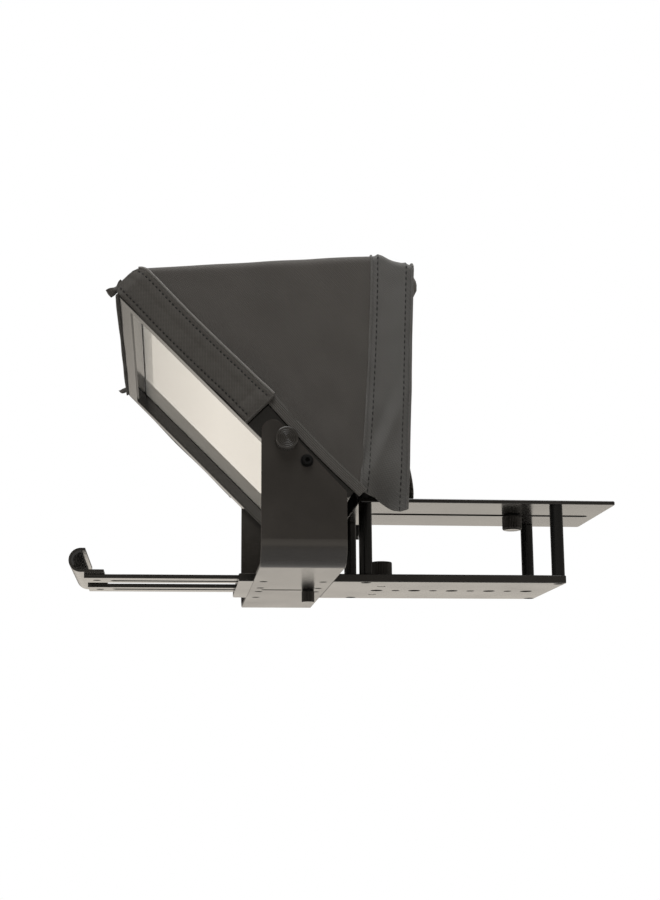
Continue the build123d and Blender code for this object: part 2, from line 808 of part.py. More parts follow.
outer_face_y = bracket_span / 2
pivot_screw_reach = bracket_sheet + upright_gap + frame_screw_depth - 0.5

for side, sign in (("left", -1), ("right", 1)):
    # Both planes look outwards from the upright, so lengths grow away from the frame
    outward = Plane(origin=(pivot_x, sign * outer_face_y, pivot_z), x_dir=(1, 0, 0), z_dir=(0, sign, 0))
    knob_plane = Plane(
        origin=(tilt_knob_x, sign * outer_face_y, tilt_knob_z), x_dir=(1, 0, 0), z_dir=(0, sign, 0)
    )
    with BuildPart() as pivot_screw:
        with BuildSketch(outward.offset(washer_thickness)):
            Circle(socket_head_radius)
        extrude(amount=socket_head_height)
        chamfer(pivot_screw.faces().sort_by(Axis.Y)[0 if sign < 0 else -1].edges(), 0.4)
        with BuildSketch(outward.offset(washer_thickness + socket_head_height)):
            RegularPolygon(radius=1.75, side_count=6)
        extrude(amount=-2.2, mode=Mode.SUBTRACT)
        with BuildSketch(outward.offset(washer_thickness)):
            Circle(m4_radius)
        extrude(amount=-(washer_thickness + pivot_screw_reach))
    save(pivot_screw.part, f"pivot_screw_{side}")
    with BuildPart() as tilt_knob:
        with Locations(knob_plane.offset(slide_clearance).location):
            add(turned_knob(tilt_knob_radius, tilt_knob_height, m4_radius))
    save(tilt_knob.part, f"tilt_knob_{side}")
    with BuildPart() as tilt_stud:
        with BuildSketch(knob_plane.offset(slide_clearance + tilt_knob_height * 0.6)):
            Circle(m4_radius)
        extrude(amount=-(slide_clearance + tilt_knob_height * 0.6 + pivot_screw_reach))
    save(tilt_stud.part, f"tilt_knob_stud_{side}")

with BuildPart() as pivot_washers:
    for sign in (-1, 1):
        washer_plane = Plane(
            origin=(pivot_x, sign * outer_face_y, pivot_z), x_dir=(1, 0, 0), z_dir=(0, sign, 0)
        )
        with BuildSketch(washer_plane):
            Circle(washer_radius)
            Circle(m4_radius + screw_clearance, mode=Mode.SUBTRACT)
        extrude(amount=washer_thickness)
save(pivot_washers.part, "pivot_washers")

with BuildPart() as pivot_spacers:
    for sign in (-1, 1):
        spacer_plane = Plane(
            origin=(pivot_x, sign * frame_half_width, pivot_z), x_dir=(1, 0, 0), z_dir=(0, sign, 0)
        )
        with BuildSketch(spacer_plane):
            Circle(washer_radius)
            Circle(m4_radius + screw_clearance, mode=Mode.SUBTRACT)
        extrude(amount=upright_gap - slide_clearance)
save(pivot_spacers.part, "pivot_spacers")

# ---------------------------------------------------------------- hook-and-loop strips and flaps

flap_start = 2.0
hook_width = frame_depth - 4

for side, sign in (("left", -1), ("right", 1)):
    with BuildPart() as side_flap:
        with BuildSketch(Plane.XZ.offset(-sign * hook_outer_y)):
            with BuildLine():
                Polyline(
                    frame_point(flap_start, 0),
                    frame_point(flap_length, 0),
                    frame_point(flap_length, flap_width),
                    frame_point(flap_start, flap_width),
                    close=True,
                )
            make_face()
        extrude(amount=-sign * cloth)
    save(side_flap.part, f"hood_flap_{side}")

with BuildPart() as hook_strips:
    for sign in (-1, 1):
        with BuildSketch(Plane.XZ.offset(-sign * frame_half_width)):
            with BuildLine():
                Polyline(
                    frame_point(flap_start + 3, 2),
                    frame_point(flap_length - 5, 2),
                    frame_point(flap_length - 5, 2 + hook_width),
                    frame_point(flap_start + 3, 2 + hook_width),
                    close=True,
                )
            make_face()
        extrude(amount=-sign * hook_strip_thickness)
    top_face = Plane(
        origin=(frame_origin_x, 0, frame_origin_z), x_dir=(0, 1, 0), z_dir=(-slope_x, 0, -slope_z)
    )
    with BuildSketch(top_face):
        with Locations((0, -(2 + hook_width / 2))):
            Rectangle(2 * frame_half_width - 12, hook_width)
    extrude(amount=hook_strip_thickness)
save(hook_strips.part, "hook_strips")

with BuildPart() as hood_flap_top:
    with BuildSketch(top_face.offset(hook_strip_thickness)):
        with Locations((0, -flap_width / 2)):
            Rectangle(2 * frame_half_width, flap_width)
    extrude(amount=cloth)
save(hood_flap_top.part, "hood_flap_top")

# ---------------------------------------------------------------- hood panels

elastic_inner = frame_depth
elastic_outer = frame_depth + elastic_width
hood_front_x, hood_front_z = frame_point(0, flap_width)
hood_top_z = hood_front_z + hood_top_rise
top_slope = (hood_top_z - hood_front_z) / (hood_seam_x - hood_front_x)


def side_solid(points, sign):
    """Closed side panel of the hood: an outline in X and Z at the hood's outer skin."""
    with BuildPart() as panel:
        with BuildSketch(Plane.XZ.offset(-sign * (hood_outer_y - cloth))):
            with BuildLine():
                Polyline(*points, close=True)
            make_face()
        extrude(amount=-sign * cloth)
    return panel.part


def seam_height(depth):
    """Height at which a line at the given depth behind the glass frame meets the seam."""
    start_x, start_z = frame_point(0, depth)
    return start_z + (hood_seam_x - start_x) * slope_z / slope_x


seam_low_z = seam_height(elastic_outer)
elastic_corner = frame_point(frame_length, elastic_inner)
side_outline = [
    frame_point(flap_start, flap_width),
    frame_point(flap_length, flap_width),
    frame_point(flap_length, elastic_outer),
    (hood_seam_x, seam_low_z),
    (hood_seam_x, hood_top_z),
]
elastic_outline = [
    frame_point(flap_length, elastic_inner),
    elastic_corner,
    (hood_seam_x, hood_back_bottom_z),
    (hood_seam_x, seam_low_z),
    frame_point(flap_length, elastic_outer),
]
band_outline = [
    (hood_seam_x, hood_top_z),
    (hood_back_x, hood_top_z),
    (hood_back_x, hood_back_bottom_z),
    (hood_seam_x, hood_back_bottom_z),
]
for side, sign in (("left", -1), ("right", 1)):
    save(side_solid(side_outline, sign), f"hood_side_{side}")
    save(side_solid(elastic_outline, sign), f"hood_elastic_{side}")
    save(side_solid(band_outline, sign), f"hood_band_{side}")

hood_inner_y = hood_outer_y - cloth
with BuildPart() as hood_top_panel:
    with BuildSketch(Plane.XZ.offset(-hood_inner_y)):
        with BuildLine():
            Polyline(
                (hood_front_x + 1, hood_front_z + top_slope),
                (hood_seam_x, hood_top_z),
                (hood_seam_x, hood_top_z - cloth),
                (hood_front_x + 1, hood_front_z + top_slope - cloth),
                close=True,
            )
        make_face()
    extrude(amount=2 * hood_inner_y)
save(hood_top_panel.part, "hood_top_panel")

with BuildPart() as hood_band_top:
    with BuildSketch(Plane.XZ.offset(-hood_inner_y)):
        with BuildLine():
            Polyline(
                (hood_seam_x, hood_top_z),
                (hood_back_x, hood_top_z),
                (hood_back_x, hood_top_z - cloth),
                (hood_seam_x, hood_top_z - cloth),
                close=True,
            )
        make_face()
    extrude(amount=2 * hood_inner_y)
save(hood_band_top.part, "hood_band_top")

rear_top = hood_top_z - cloth
with BuildPart() as hood_rear_panel:
    with BuildSketch(Plane.YZ.offset(hood_back_x)):
        with Locations((0, (rear_top + hood_back_bottom_z) / 2)):
            Rectangle(2 * hood_inner_y, rear_top - hood_back_bottom_z)
        with Locations((0, (lens_notch_top_z + hood_back_bottom_z) / 2)):
            Rectangle(lens_notch_width, lens_notch_top_z - hood_back_bottom_z, mode=Mode.SUBTRACT)
    extrude(amount=-cloth)
save(hood_rear_panel.part, "hood_rear_panel")
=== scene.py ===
"""Looks of the teleprompter: sewn hood, knobs, rubber, and the finish of every metal part.

Lengths are in metres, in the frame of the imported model: +X towards the camera operator,
+Z up, and "left" is the -Y side.
"""

import json
import logging
import math
from dataclasses import dataclass, field
from enum import Enum

import bmesh
import bpy
import numpy as np
from mathutils import Matrix, Vector


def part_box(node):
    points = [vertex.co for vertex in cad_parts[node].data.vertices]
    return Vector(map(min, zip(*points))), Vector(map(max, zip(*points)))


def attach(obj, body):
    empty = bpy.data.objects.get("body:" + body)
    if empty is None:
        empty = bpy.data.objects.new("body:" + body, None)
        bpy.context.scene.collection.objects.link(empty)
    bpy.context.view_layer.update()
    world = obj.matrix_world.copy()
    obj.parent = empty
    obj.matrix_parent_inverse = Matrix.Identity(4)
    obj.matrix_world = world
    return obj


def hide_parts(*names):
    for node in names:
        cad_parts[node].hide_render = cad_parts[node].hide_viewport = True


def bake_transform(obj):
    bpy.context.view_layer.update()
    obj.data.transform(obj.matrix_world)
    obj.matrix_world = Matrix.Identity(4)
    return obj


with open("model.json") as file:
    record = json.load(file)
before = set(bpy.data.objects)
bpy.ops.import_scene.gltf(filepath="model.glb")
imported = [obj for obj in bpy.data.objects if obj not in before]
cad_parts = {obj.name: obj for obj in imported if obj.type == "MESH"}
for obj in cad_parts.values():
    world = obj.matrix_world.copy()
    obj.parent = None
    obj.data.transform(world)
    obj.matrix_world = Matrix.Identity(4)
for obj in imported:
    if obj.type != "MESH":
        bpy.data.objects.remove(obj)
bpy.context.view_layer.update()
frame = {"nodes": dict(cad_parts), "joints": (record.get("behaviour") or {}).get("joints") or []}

log = logging.getLogger("teleprompter")
MM = 0.001
TAU = 2.0 * math.pi
Input = bpy.types.NodeSocket | float


# ---------------------------------------------------------------- places taken from the frame


def joint_place(name: str) -> np.ndarray:
    """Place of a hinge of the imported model.

    Args:
        name: The joint's name in the record.

    Returns:
        The hinge's point in the row frame.
    """
    found = next(j for j in frame["joints"] if j["name"] == name)
    return np.array(found["pos_m"], float)


def node_box(name: str) -> tuple[np.ndarray, np.ndarray]:
    """Lowest and highest corner of a CAD node at rest."""
    low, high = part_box(name)
    return np.array(low, float), np.array(high, float)


@dataclass(frozen=True)
class TiltedFrame:
    """The glass frame's own directions: down the slope, and behind the front face."""

    pivot: np.ndarray
    tilt: float = math.radians(45.0)
    pivot_slope: float = 176.7 * MM
    pivot_depth: float = 11.0 * MM

    @property
    def down(self) -> np.ndarray:
        """Unit vector down the slope."""
        return np.array([math.cos(self.tilt), 0.0, -math.sin(self.tilt)])

    @property
    def back(self) -> np.ndarray:
        """Unit vector away from the front face."""
        return np.array([math.sin(self.tilt), 0.0, math.cos(self.tilt)])

    def at(self, slope: np.ndarray | float, depth: np.ndarray | float, y: np.ndarray | float) -> np.ndarray:
        """Points of the frame.

        Args:
            slope: Distances down the slope from the top edge.
            depth: Distances behind the front face.
            y: Distances across.

        Returns:
            Array of points: top corner + slope * down + depth * back + y across.
        """
        slope, depth, y = np.broadcast_arrays(
            np.asarray(slope, float), np.asarray(depth, float), np.asarray(y, float)
        )
        corner = self.pivot - self.pivot_slope * self.down - self.pivot_depth * self.back
        points = corner + slope[..., None] * self.down + depth[..., None] * self.back
        points[..., 1] = y
        return points


# ---------------------------------------------------------------- mesh making


def grid_object(
    name: str,
    points: np.ndarray,
    uv: np.ndarray | None = None,
    wrap_u: bool = False,
    wrap_v: bool = False,
    caps: bool = False,
) -> bpy.types.Object:
    """A mesh from points on a grid, with quads between neighbours.

    Args:
        name: Name of the new piece.
        points: Array (rows, columns, 3).
        uv: Array (rows, columns, 2) in metres, or None.
        wrap_u: Whether the last row joins the first.
        wrap_v: Whether the last column joins the first.
        caps: Whether the first and last rows are closed with one face each.

    Returns:
        The new object, at the origin, smooth shaded.
    """
    rows, columns = points.shape[:2]
    i = np.arange(rows if wrap_u else rows - 1)
    j = np.arange(columns if wrap_v else columns - 1)
    i, j = np.meshgrid(i, j, indexing="ij")
    i2, j2 = (i + 1) % rows, (j + 1) % columns
    quads = np.stack(
        [i * columns + j, i2 * columns + j, i2 * columns + j2, i * columns + j2], axis=-1
    ).reshape(-1, 4)
    faces = quads.tolist()
    if caps:
        faces.append(list(range(columns)))
        faces.append(list(range((rows - 1) * columns, rows * columns))[::-1])
    mesh = bpy.data.meshes.new(name)
    mesh.from_pydata(points.reshape(-1, 3).tolist(), [], faces)
    if uv is not None:
        layer = mesh.uv_layers.new(name="UVMap")
        index = np.empty(len(mesh.loops), dtype=np.int64)
        mesh.loops.foreach_get("vertex_index", index)
        layer.data.foreach_set("uv", uv.reshape(-1, 2)[index].astype(np.float32).ravel())
    mesh.update()
    piece = bpy.data.objects.new(name, mesh)
    bpy.context.scene.collection.objects.link(piece)
    smooth(piece)
    return piece


def smooth(piece: bpy.types.Object, angle: float = 40.0) -> None:
    """Shade smooth, and keep edges sharper than the angle (degrees) sharp."""
    mesh = piece.data
    mesh.polygons.foreach_set("use_smooth", np.ones(len(mesh.polygons), dtype=bool))
    mesh.set_sharp_from_angle(angle=math.radians(angle))
    mesh.update()


def modifier(piece: bpy.types.Object, kind: str, name: str, **settings) -> bpy.types.Modifier:
    """Add one modifier with the given settings and return it."""
    made = piece.modifiers.new(name, kind)
    for key, value in settings.items():
        setattr(made, key, value)
    return made


def apply_modifiers(piece: bpy.types.Object) -> None:
    """Bake every modifier of a piece into its mesh."""
    bpy.context.view_layer.update()
    graph = bpy.context.evaluated_depsgraph_get()
    mesh = bpy.data.meshes.new_from_object(piece.evaluated_get(graph))
    piece.modifiers.clear()
    old = piece.data
    piece.data = mesh
    mesh.name = piece.name
    bpy.data.meshes.remove(old)


def normals_of(points: np.ndarray) -> np.ndarray:
    """Unit normals of a grid of points: the cross product of its two difference fields."""
    du = np.gradient(points, axis=0)
    dv = np.gradient(points, axis=1)
    n = np.cross(du, dv)
    return n / np.maximum(np.linalg.norm(n, axis=-1, keepdims=True), 1e-12)


def tube(
    name: str, path: np.ndarray, radius: np.ndarray | float, sides: int = 10, flat: float = 1.0
) -> bpy.types.Object:
    """A round or oval tube that follows a path, closed at both ends.

    Each ring is centre + radius * (cos a * side + flat * sin a * up), where side and up are
    square to the path's direction.

    Args:
        name: Name of the piece.
        path: Centre line, array (n, 3).
        radius: One radius or one for each point.
        sides: Points round the section.
        flat: Height of the section over its width.

    Returns:
        The tube.
    """
    direction = np.gradient(path, axis=0)
    direction /= np.linalg.norm(direction, axis=1, keepdims=True)
    reference = np.where(np.abs(direction[:, 2:3]) < 0.9, [[0.0, 0.0, 1.0]], [[0.0, 1.0, 0.0]])
    side = np.cross(direction, reference)
    side /= np.linalg.norm(side, axis=1, keepdims=True)
    up = np.cross(side, direction)
    a = np.linspace(0.0, TAU, sides, endpoint=False)
    r = np.broadcast_to(np.asarray(radius, float), (len(path),))[:, None, None]
    ring = np.cos(a)[None, :, None] * side[:, None, :] + flat * np.sin(a)[None, :, None] * up[:, None, :]
    run = np.concatenate([[0.0], np.cumsum(np.linalg.norm(np.diff(path, axis=0), axis=1))])
    uv = np.stack(np.broadcast_arrays(run[:, None], a[None, :] * np.mean(r)), axis=-1)
    return grid_object(name, path[:, None, :] + r * ring, uv, wrap_v=True, caps=True)


def turned(
    name: str,
    profile: np.ndarray,
    origin: np.ndarray,
    axis: np.ndarray,
    around: int = 96,
    ripple=None,
) -> bpy.types.Object:
    """A closed surface of revolution with an optional ripple in its radius.

    A point is origin + height * axis + radius * (1 + ripple) * (cos a * side + sin a * up).

    Args:
        name: Name of the piece.
        profile: Array (n, 2) of radius and height, starting and ending on the axis.
        origin: Point on the axis at height zero.
        axis: Unit vector of the axis.
        around: Points round the axis.
        ripple: Function of (angle, radius, height) that returns a radius change in metres.

    Returns:
        The piece, with its poles closed.
    """
    side = np.cross(axis, [1.0, 0.0, 0.0] if abs(axis[0]) < 0.9 else [0.0, 1.0, 0.0])
    side = side / np.linalg.norm(side)
    up = np.cross(axis, side)
    a = np.linspace(0.0, TAU, around, endpoint=False)[None, :]
    radius, height = profile[:, 0:1], profile[:, 1:2]
    r = radius + (ripple(a, radius, height) if ripple else 0.0 * a)
    points = (
        origin
        + height[..., None] * axis
        + r[..., None] * (np.cos(a)[..., None] * side + np.sin(a)[..., None] * up)
    )
    piece = grid_object(name, points, None, wrap_v=True)
    weld(piece)
    return piece


def weld(piece: bpy.types.Object, distance: float = 1e-6) -> None:
    """Merge doubled points and turn all faces outwards."""
    work = bmesh.new()
    work.from_mesh(piece.data)
    bmesh.ops.remove_doubles(work, verts=work.verts, dist=distance)
    bmesh.ops.dissolve_degenerate(work, edges=work.edges, dist=distance)
    bmesh.ops.recalc_face_normals(work, faces=work.faces)
    work.to_mesh(piece.data)
    work.free()
    smooth(piece)


# ---------------------------------------------------------------- materials


class Sheet:
    """A material's node tree, with short calls to add and join nodes."""

    def __init__(self, name: str) -> None:
        """Start a material with one Principled shader."""
        self.material = bpy.data.materials.new(name)
        self.material.use_nodes = True
        self.tree = self.material.node_tree
        self.tree.nodes.clear()
        self.output = self.tree.nodes.new("ShaderNodeOutputMaterial")
        self.shader = self.tree.nodes.new("ShaderNodeBsdfPrincipled")
        self.tree.links.new(self.shader.outputs["BSDF"], self.output.inputs["Surface"])

    def set(self, **values) -> None:
        """Set sockets of the shader that are the same all over; underscores stand for spaces."""
        for key, value in values.items():
            self.shader.inputs[key.replace("_", " ")].default_value = value

    def node(self, kind: str, **settings) -> bpy.types.Node:
        """Add a node and set its own properties."""
        made = self.tree.nodes.new(kind)
        for key, value in settings.items():
            setattr(made, key, value)
        return made

    def link(self, start: bpy.types.NodeSocket, end: bpy.types.NodeSocket) -> None:
        """Join two sockets."""
        self.tree.links.new(start, end)

    def coordinates(self, scale: tuple[float, float, float] = (1.0, 1.0, 1.0)) -> bpy.types.NodeSocket:
        """Object coordinates, stretched by a scale."""
        source = self.node("ShaderNodeTexCoord")
        mapping = self.node("ShaderNodeMapping")
        mapping.inputs["Scale"].default_value = scale
        self.link(source.outputs["Object"], mapping.inputs["Vector"])
        return mapping.outputs["Vector"]

    def uv(self) -> bpy.types.NodeSocket:
        """The piece's own UV map, in metres."""
        return self.node("ShaderNodeUVMap", uv_map="UVMap").outputs["UV"]

    def noise(
        self, vector: bpy.types.NodeSocket, scale: float, detail: float = 4.0, rough: float = 0.5
    ) -> bpy.types.NodeSocket:
        """A noise texture's value at a vector."""
        made = self.node("ShaderNodeTexNoise")
        made.inputs["Scale"].default_value = scale
        made.inputs["Detail"].default_value = detail
        made.inputs["Roughness"].default_value = rough
        self.link(vector, made.inputs["Vector"])
        return made.outputs["Fac"]

    def math(self, operation: str, a: Input, b: Input | None = None, clamp: bool = False) -> bpy.types.NodeSocket:
        """One Math node.

        Args:
            operation: Blender's name of the operation.
            a: First socket or number.
            b: Second socket or number, if the operation has one.
            clamp: Whether to keep the result from 0 to 1.

        Returns:
            The result's socket.
        """
        made = self.node("ShaderNodeMath", operation=operation, use_clamp=clamp)
        for place, value in enumerate((a, b)):
            if value is None:
                continue
            if isinstance(value, (int, float)):
                made.inputs[place].default_value = value
            else:
                self.link(value, made.inputs[place])
        return made.outputs[0]

    def span(
        self, value: bpy.types.NodeSocket, low: float, high: float, to_low: float, to_high: float
    ) -> bpy.types.NodeSocket:
        """Map a value's range onto another, clamped.

        Args:
            value: Socket to map.
            low: Start of its range.
            high: End of its range.
            to_low: Start of the new range.
            to_high: End of the new range.

        Returns:
            The mapped value's socket.
        """
        made = self.node("ShaderNodeMapRange")
        for key, number in zip(("From Min", "From Max", "To Min", "To Max"), (low, high, to_low, to_high)):
            made.inputs[key].default_value = number
        self.link(value, made.inputs["Value"])
        return made.outputs["Result"]

    def blend(self, factor: bpy.types.NodeSocket, first: tuple, second: tuple) -> bpy.types.NodeSocket:
        """A colour between two, by a factor."""
        made = self.node("ShaderNodeMix", data_type="RGBA")
        made.inputs["A"].default_value = (*first, 1.0)
        made.inputs["B"].default_value = (*second, 1.0)
        colour_a = [s for s in made.inputs if s.name == "A" and s.type == "RGBA"][0]
        colour_b = [s for s in made.inputs if s.name == "B" and s.type == "RGBA"][0]
        colour_a.default_value = (*first, 1.0)
        colour_b.default_value = (*second, 1.0)
        self.link(factor, [s for s in made.inputs if s.name == "Factor" and s.type == "VALUE"][0])
        return [s for s in made.outputs if s.type == "RGBA"][0]

    def colour(self, socket: bpy.types.NodeSocket) -> None:
        """Drive the shader's colour."""
        self.link(socket, self.shader.inputs["Base Color"])

    def roughness(self, socket: bpy.types.NodeSocket) -> None:
        """Drive the shader's roughness."""
        self.link(socket, self.shader.inputs["Roughness"])

    def bump(self, height: bpy.types.NodeSocket, depth: float) -> None:
        """Give the shader a bump of the stated depth in metres."""
        made = self.node("ShaderNodeBump")
        made.inputs["Strength"].default_value = 1.0
        made.inputs["Distance"].default_value = depth
        self.link(height, made.inputs["Height"])
        self.link(made.outputs["Normal"], self.shader.inputs["Normal"])


def darker(colour: tuple, share: float) -> tuple:
    """A colour multiplied by a share."""
    return tuple(channel * share for channel in colour)


@dataclass(frozen=True)
class CoatedMetal:
    """Black coated or anodised metal: fine grain, soft gloss, rubbed spots."""

    name: str
    colour: tuple = (0.020, 0.0185, 0.017)
    rough: float = 0.34
    grain: tuple = (1.0, 1.0, 1.0)
    grain_scale: float = 2600.0
    grain_depth: float = 0.00002
    gloss: float = 0.5
    patchy: float = 0.03

    def material(self) -> bpy.types.Material:
        """Noise sets small changes of colour and roughness, and a fine grain in the bump."""
        sheet = Sheet(self.name)
        place = sheet.coordinates(self.grain)
        broad = sheet.noise(sheet.coordinates(), 18.0, 5.0)
        fine = sheet.noise(place, self.grain_scale, 2.0, 0.6)
        sheet.colour(
            sheet.blend(sheet.span(broad, 0.35, 0.7, 0.0, 1.0), darker(self.colour, 0.85), darker(self.colour, 1.25))
        )
        rubbed = sheet.span(broad, 0.3, 0.75, self.rough - self.patchy, self.rough + self.patchy)
        sheet.roughness(sheet.math("ADD", rubbed, sheet.span(fine, 0.3, 0.7, -0.03, 0.03)))
        sheet.bump(fine, self.grain_depth)
        sheet.set(Metallic=0.0, IOR=1.5, Specular_IOR_Level=self.gloss)
        return sheet.material


@dataclass(frozen=True)
class BrightSteel:
    """Plated steel with brushed lines."""

    name: str
    colour: tuple = (0.58, 0.57, 0.55)
    rough: float = 0.28

    def material(self) -> bpy.types.Material:
        """Stretched noise makes fine turning lines."""
        sheet = Sheet(self.name)
        lines = sheet.noise(sheet.coordinates((1.0, 1.0, 14.0)), 700.0, 3.0, 0.6)
        sheet.colour(sheet.blend(lines, darker(self.colour, 0.8), self.colour))
        sheet.roughness(sheet.span(lines, 0.3, 0.7, self.rough - 0.06, self.rough + 0.08))
        sheet.bump(lines, 0.00001)
        sheet.set(Metallic=1.0)
        return sheet.material


@dataclass(frozen=True)
class Rubber:
    """Matt black rubber or foam with a fine skin."""

    name: str
    colour: tuple = (0.016, 0.016, 0.016)
    rough: float = 0.75
    pore_scale: float = 1800.0
    pore_depth: float = 0.00005

    def material(self) -> bpy.types.Material:
        """Fine noise for the skin, broad noise for dust."""
        sheet = Sheet(self.name)
        place = sheet.coordinates()
        pores = sheet.noise(place, self.pore_scale, 3.0)
        dust = sheet.noise(place, 60.0, 6.0)
        sheet.colour(sheet.blend(sheet.span(dust, 0.45, 0.8, 0.0, 1.0), self.colour, darker(self.colour, 2.4)))
        sheet.roughness(sheet.span(dust, 0.3, 0.7, self.rough - 0.08, self.rough + 0.1))
        sheet.bump(pores, self.pore_depth)
        return sheet.material


@dataclass(frozen=True)
class CoatedGlass:
    """Beam-splitter glass: a pale warm reflection painted into a near-white diffuse colour, over a slight view through.
    """

    name: str
    colour: tuple = (1.0, 0.98, 0.93)

    def material(self) -> bpy.types.Material:
        """A faint broad change in tint keeps the painted reflection from looking flat."""
        sheet = Sheet(self.name)
        cloud = sheet.noise(sheet.coordinates(), 7.0, 2.0)
        # Near-white base colour: painted reflection of the bright surroundings, not a colour of the glass.
        sheet.colour(sheet.blend(sheet.span(cloud, 0.3, 0.7, 0.0, 1.0), darker(self.colour, 0.985), self.colour))
        sheet.set(Metallic=0.0, Roughness=0.02, IOR=1.5, Alpha=1.0)
        sheet.set(Transmission_Weight=0.08, Coat_Weight=1.0, Coat_Roughness=0.01, Coat_IOR=2.2)
        return sheet.material


@dataclass(frozen=True)
class WovenCloth:
    """Woven nylon. Two crossed sine waves in the UV map stand for warp and weft."""

    name: str
    colour: tuple = (0.058, 0.053, 0.050)
    pitch: float = 1.45 * MM
    depth: float = 0.00012
    contrast: float = 0.55
    twill: float = 0.35
    sheen: float = 0.35

    def material(self) -> bpy.types.Material:
        """Height = sin(u) * sin(v), leaned over by a diagonal wave; it sets bump and colour."""
        sheet = Sheet(self.name)
        parts = sheet.node("ShaderNodeSeparateXYZ")
        sheet.link(sheet.uv(), parts.inputs["Vector"])
        warp = sheet.math("SINE", sheet.math("MULTIPLY", parts.outputs["X"], TAU / self.pitch))
        weft = sheet.math("SINE", sheet.math("MULTIPLY", parts.outputs["Y"], TAU / self.pitch))
        both = sheet.math("ADD", parts.outputs["X"], parts.outputs["Y"])
        diagonal = sheet.math("SINE", sheet.math("MULTIPLY", both, TAU / (2.0 * self.pitch)))
        plain = sheet.math("MULTIPLY", warp, weft)
        height = sheet.math("ADD", plain, sheet.math("MULTIPLY", diagonal, self.twill))
        broad = sheet.noise(sheet.uv(), 30.0, 5.0)
        fibre = sheet.noise(sheet.uv(), 1500.0, 3.0)
        tone = sheet.math(
            "ADD",
            sheet.span(height, -1.2, 1.2, 0.5 - self.contrast / 2, 0.5 + self.contrast / 2),
            sheet.math("ADD", sheet.span(broad, 0.3, 0.7, -0.07, 0.07), sheet.span(fibre, 0.3, 0.7, -0.16, 0.16)),
            clamp=True,
        )
        sheet.colour(sheet.blend(tone, darker(self.colour, 0.55), darker(self.colour, 1.45)))
        sheet.roughness(sheet.span(fibre, 0.3, 0.7, 0.72, 0.92))
        sheet.bump(sheet.math("ADD", height, sheet.math("MULTIPLY", fibre, 0.8)), self.depth)
        sheet.set(Sheen_Weight=self.sheen, Sheen_Roughness=0.45, Specular_IOR_Level=0.25)
        sheet.set(Sheen_Tint=(0.9, 0.88, 0.85, 1.0))
        return sheet.material


@dataclass(frozen=True)
class HookTape:
    """Hook-and-loop tape: a dense short pile."""

    name: str
    colour: tuple = (0.018, 0.018, 0.018)

    def material(self) -> bpy.types.Material:
        """Voronoi cells make the tufts."""
        sheet = Sheet(self.name)
        cells = sheet.node("ShaderNodeTexVoronoi")
        cells.inputs["Scale"].default_value = 1100.0
        sheet.link(sheet.coordinates(), cells.inputs["Vector"])
        tufts = cells.outputs["Distance"]
        sheet.colour(sheet.blend(tufts, darker(self.colour, 2.2), darker(self.colour, 0.4)))
        sheet.set(Roughness=0.9)
        sheet.bump(sheet.math("SUBTRACT", 1.0, tufts), 0.0004)
        return sheet.material


class Fabric(Enum):
    """The cloths that the hood is sewn from."""

    SHELL = WovenCloth("cloth_shell", colour=(0.052, 0.0485, 0.045), sheen=0.15)
    # BAND's lighter colour is painted light: it stands for the light the band's slant catches from the bright side.
    BAND = WovenCloth("cloth_band", colour=(0.072, 0.071, 0.069), pitch=1.55 * MM, contrast=0.5, sheen=0.3)
    FLAP = WovenCloth("cloth_flap", colour=(0.047, 0.044, 0.040), pitch=1.3 * MM, twill=0.3, sheen=0.15)
    LINING = WovenCloth("cloth_lining", colour=(0.010, 0.010, 0.010), sheen=0.1)
    THREAD = WovenCloth("sewing_thread", colour=(0.009, 0.009, 0.009), pitch=0.4 * MM, sheen=0.05)
    PIPING = WovenCloth("piping", colour=(0.14, 0.135, 0.13), pitch=0.7 * MM, contrast=0.5, sheen=0.5)
    WEBBING = WovenCloth("elastic_webbing", colour=(0.060, 0.057, 0.053), pitch=1.0 * MM, contrast=0.9, twill=0.2)


_made: dict[str, bpy.types.Material] = {}


def finish_of(finish) -> bpy.types.Material:
    """The material of a finish, made once.

    Args:
        finish: A finish dataclass, or a member of Fabric.

    Returns:
        Its Blender material.
    """
    kind = finish.value if isinstance(finish, Enum) else finish
    if kind.name not in _made:
        _made[kind.name] = kind.material()
    return _made[kind.name]


def dress(piece: bpy.types.Object, finish) -> None:
    """Give a piece one finish all over."""
    piece.data.materials.clear()
    piece.data.materials.append(finish_of(finish))


def dress_node(name: str, finish) -> None:
    """Give a CAD node one finish through its object's material slots."""
    node = frame["nodes"][name]
    if not node.material_slots:
        node.data.materials.append(None)
    for place in node.material_slots:
        place.link = "OBJECT"
        place.material = finish_of(finish)


# ---------------------------------------------------------------- helpers for cloth


def ripples(a: np.ndarray, b: np.ndarray, seed: int, length: float, count: int = 14) -> np.ndarray:
    """Soft random waves over two coordinates.

    The value is the mean of cosines with random directions and phases, whose wave lengths lie
    within a third of the stated length.

    Args:
        a: First coordinate in metres.
        b: Second coordinate in metres.
        seed: Seed of the random choice.
        length: Middle wave length in metres.
        count: Number of waves.

    Returns:
        Values of about -1 to 1.
    """
    rng = np.random.default_rng(seed)
    total = np.zeros(np.broadcast(a, b).shape)
    for turn, phase, size in zip(
        rng.uniform(0, TAU, count), rng.uniform(0, TAU, count), rng.uniform(0.7, 1.35, count)
    ):
        k = TAU / (length * size)
        total += np.cos(k * (a * math.cos(turn) + b * math.sin(turn)) + phase)
    return total / math.sqrt(count)


def bell(value: np.ndarray, middle: float, width: float) -> np.ndarray:
    """A smooth bump: exp of minus the square of the distance over the width."""
    return np.exp(-(((value - middle) / width) ** 2))


def surface_uv(points: np.ndarray) -> np.ndarray:
    """Lengths along the middle row and the middle column, used as a cloth's flat coordinates."""
    rows, columns = points.shape[:2]
    down = np.linalg.norm(np.diff(points[:, columns // 2], axis=0), axis=1)
    across = np.linalg.norm(np.diff(points[rows // 2], axis=0), axis=1)
    u = np.concatenate([[0.0], np.cumsum(down)])
    v = np.concatenate([[0.0], np.cumsum(across)])
    return np.stack(np.meshgrid(u, v, indexing="ij"), axis=-1)


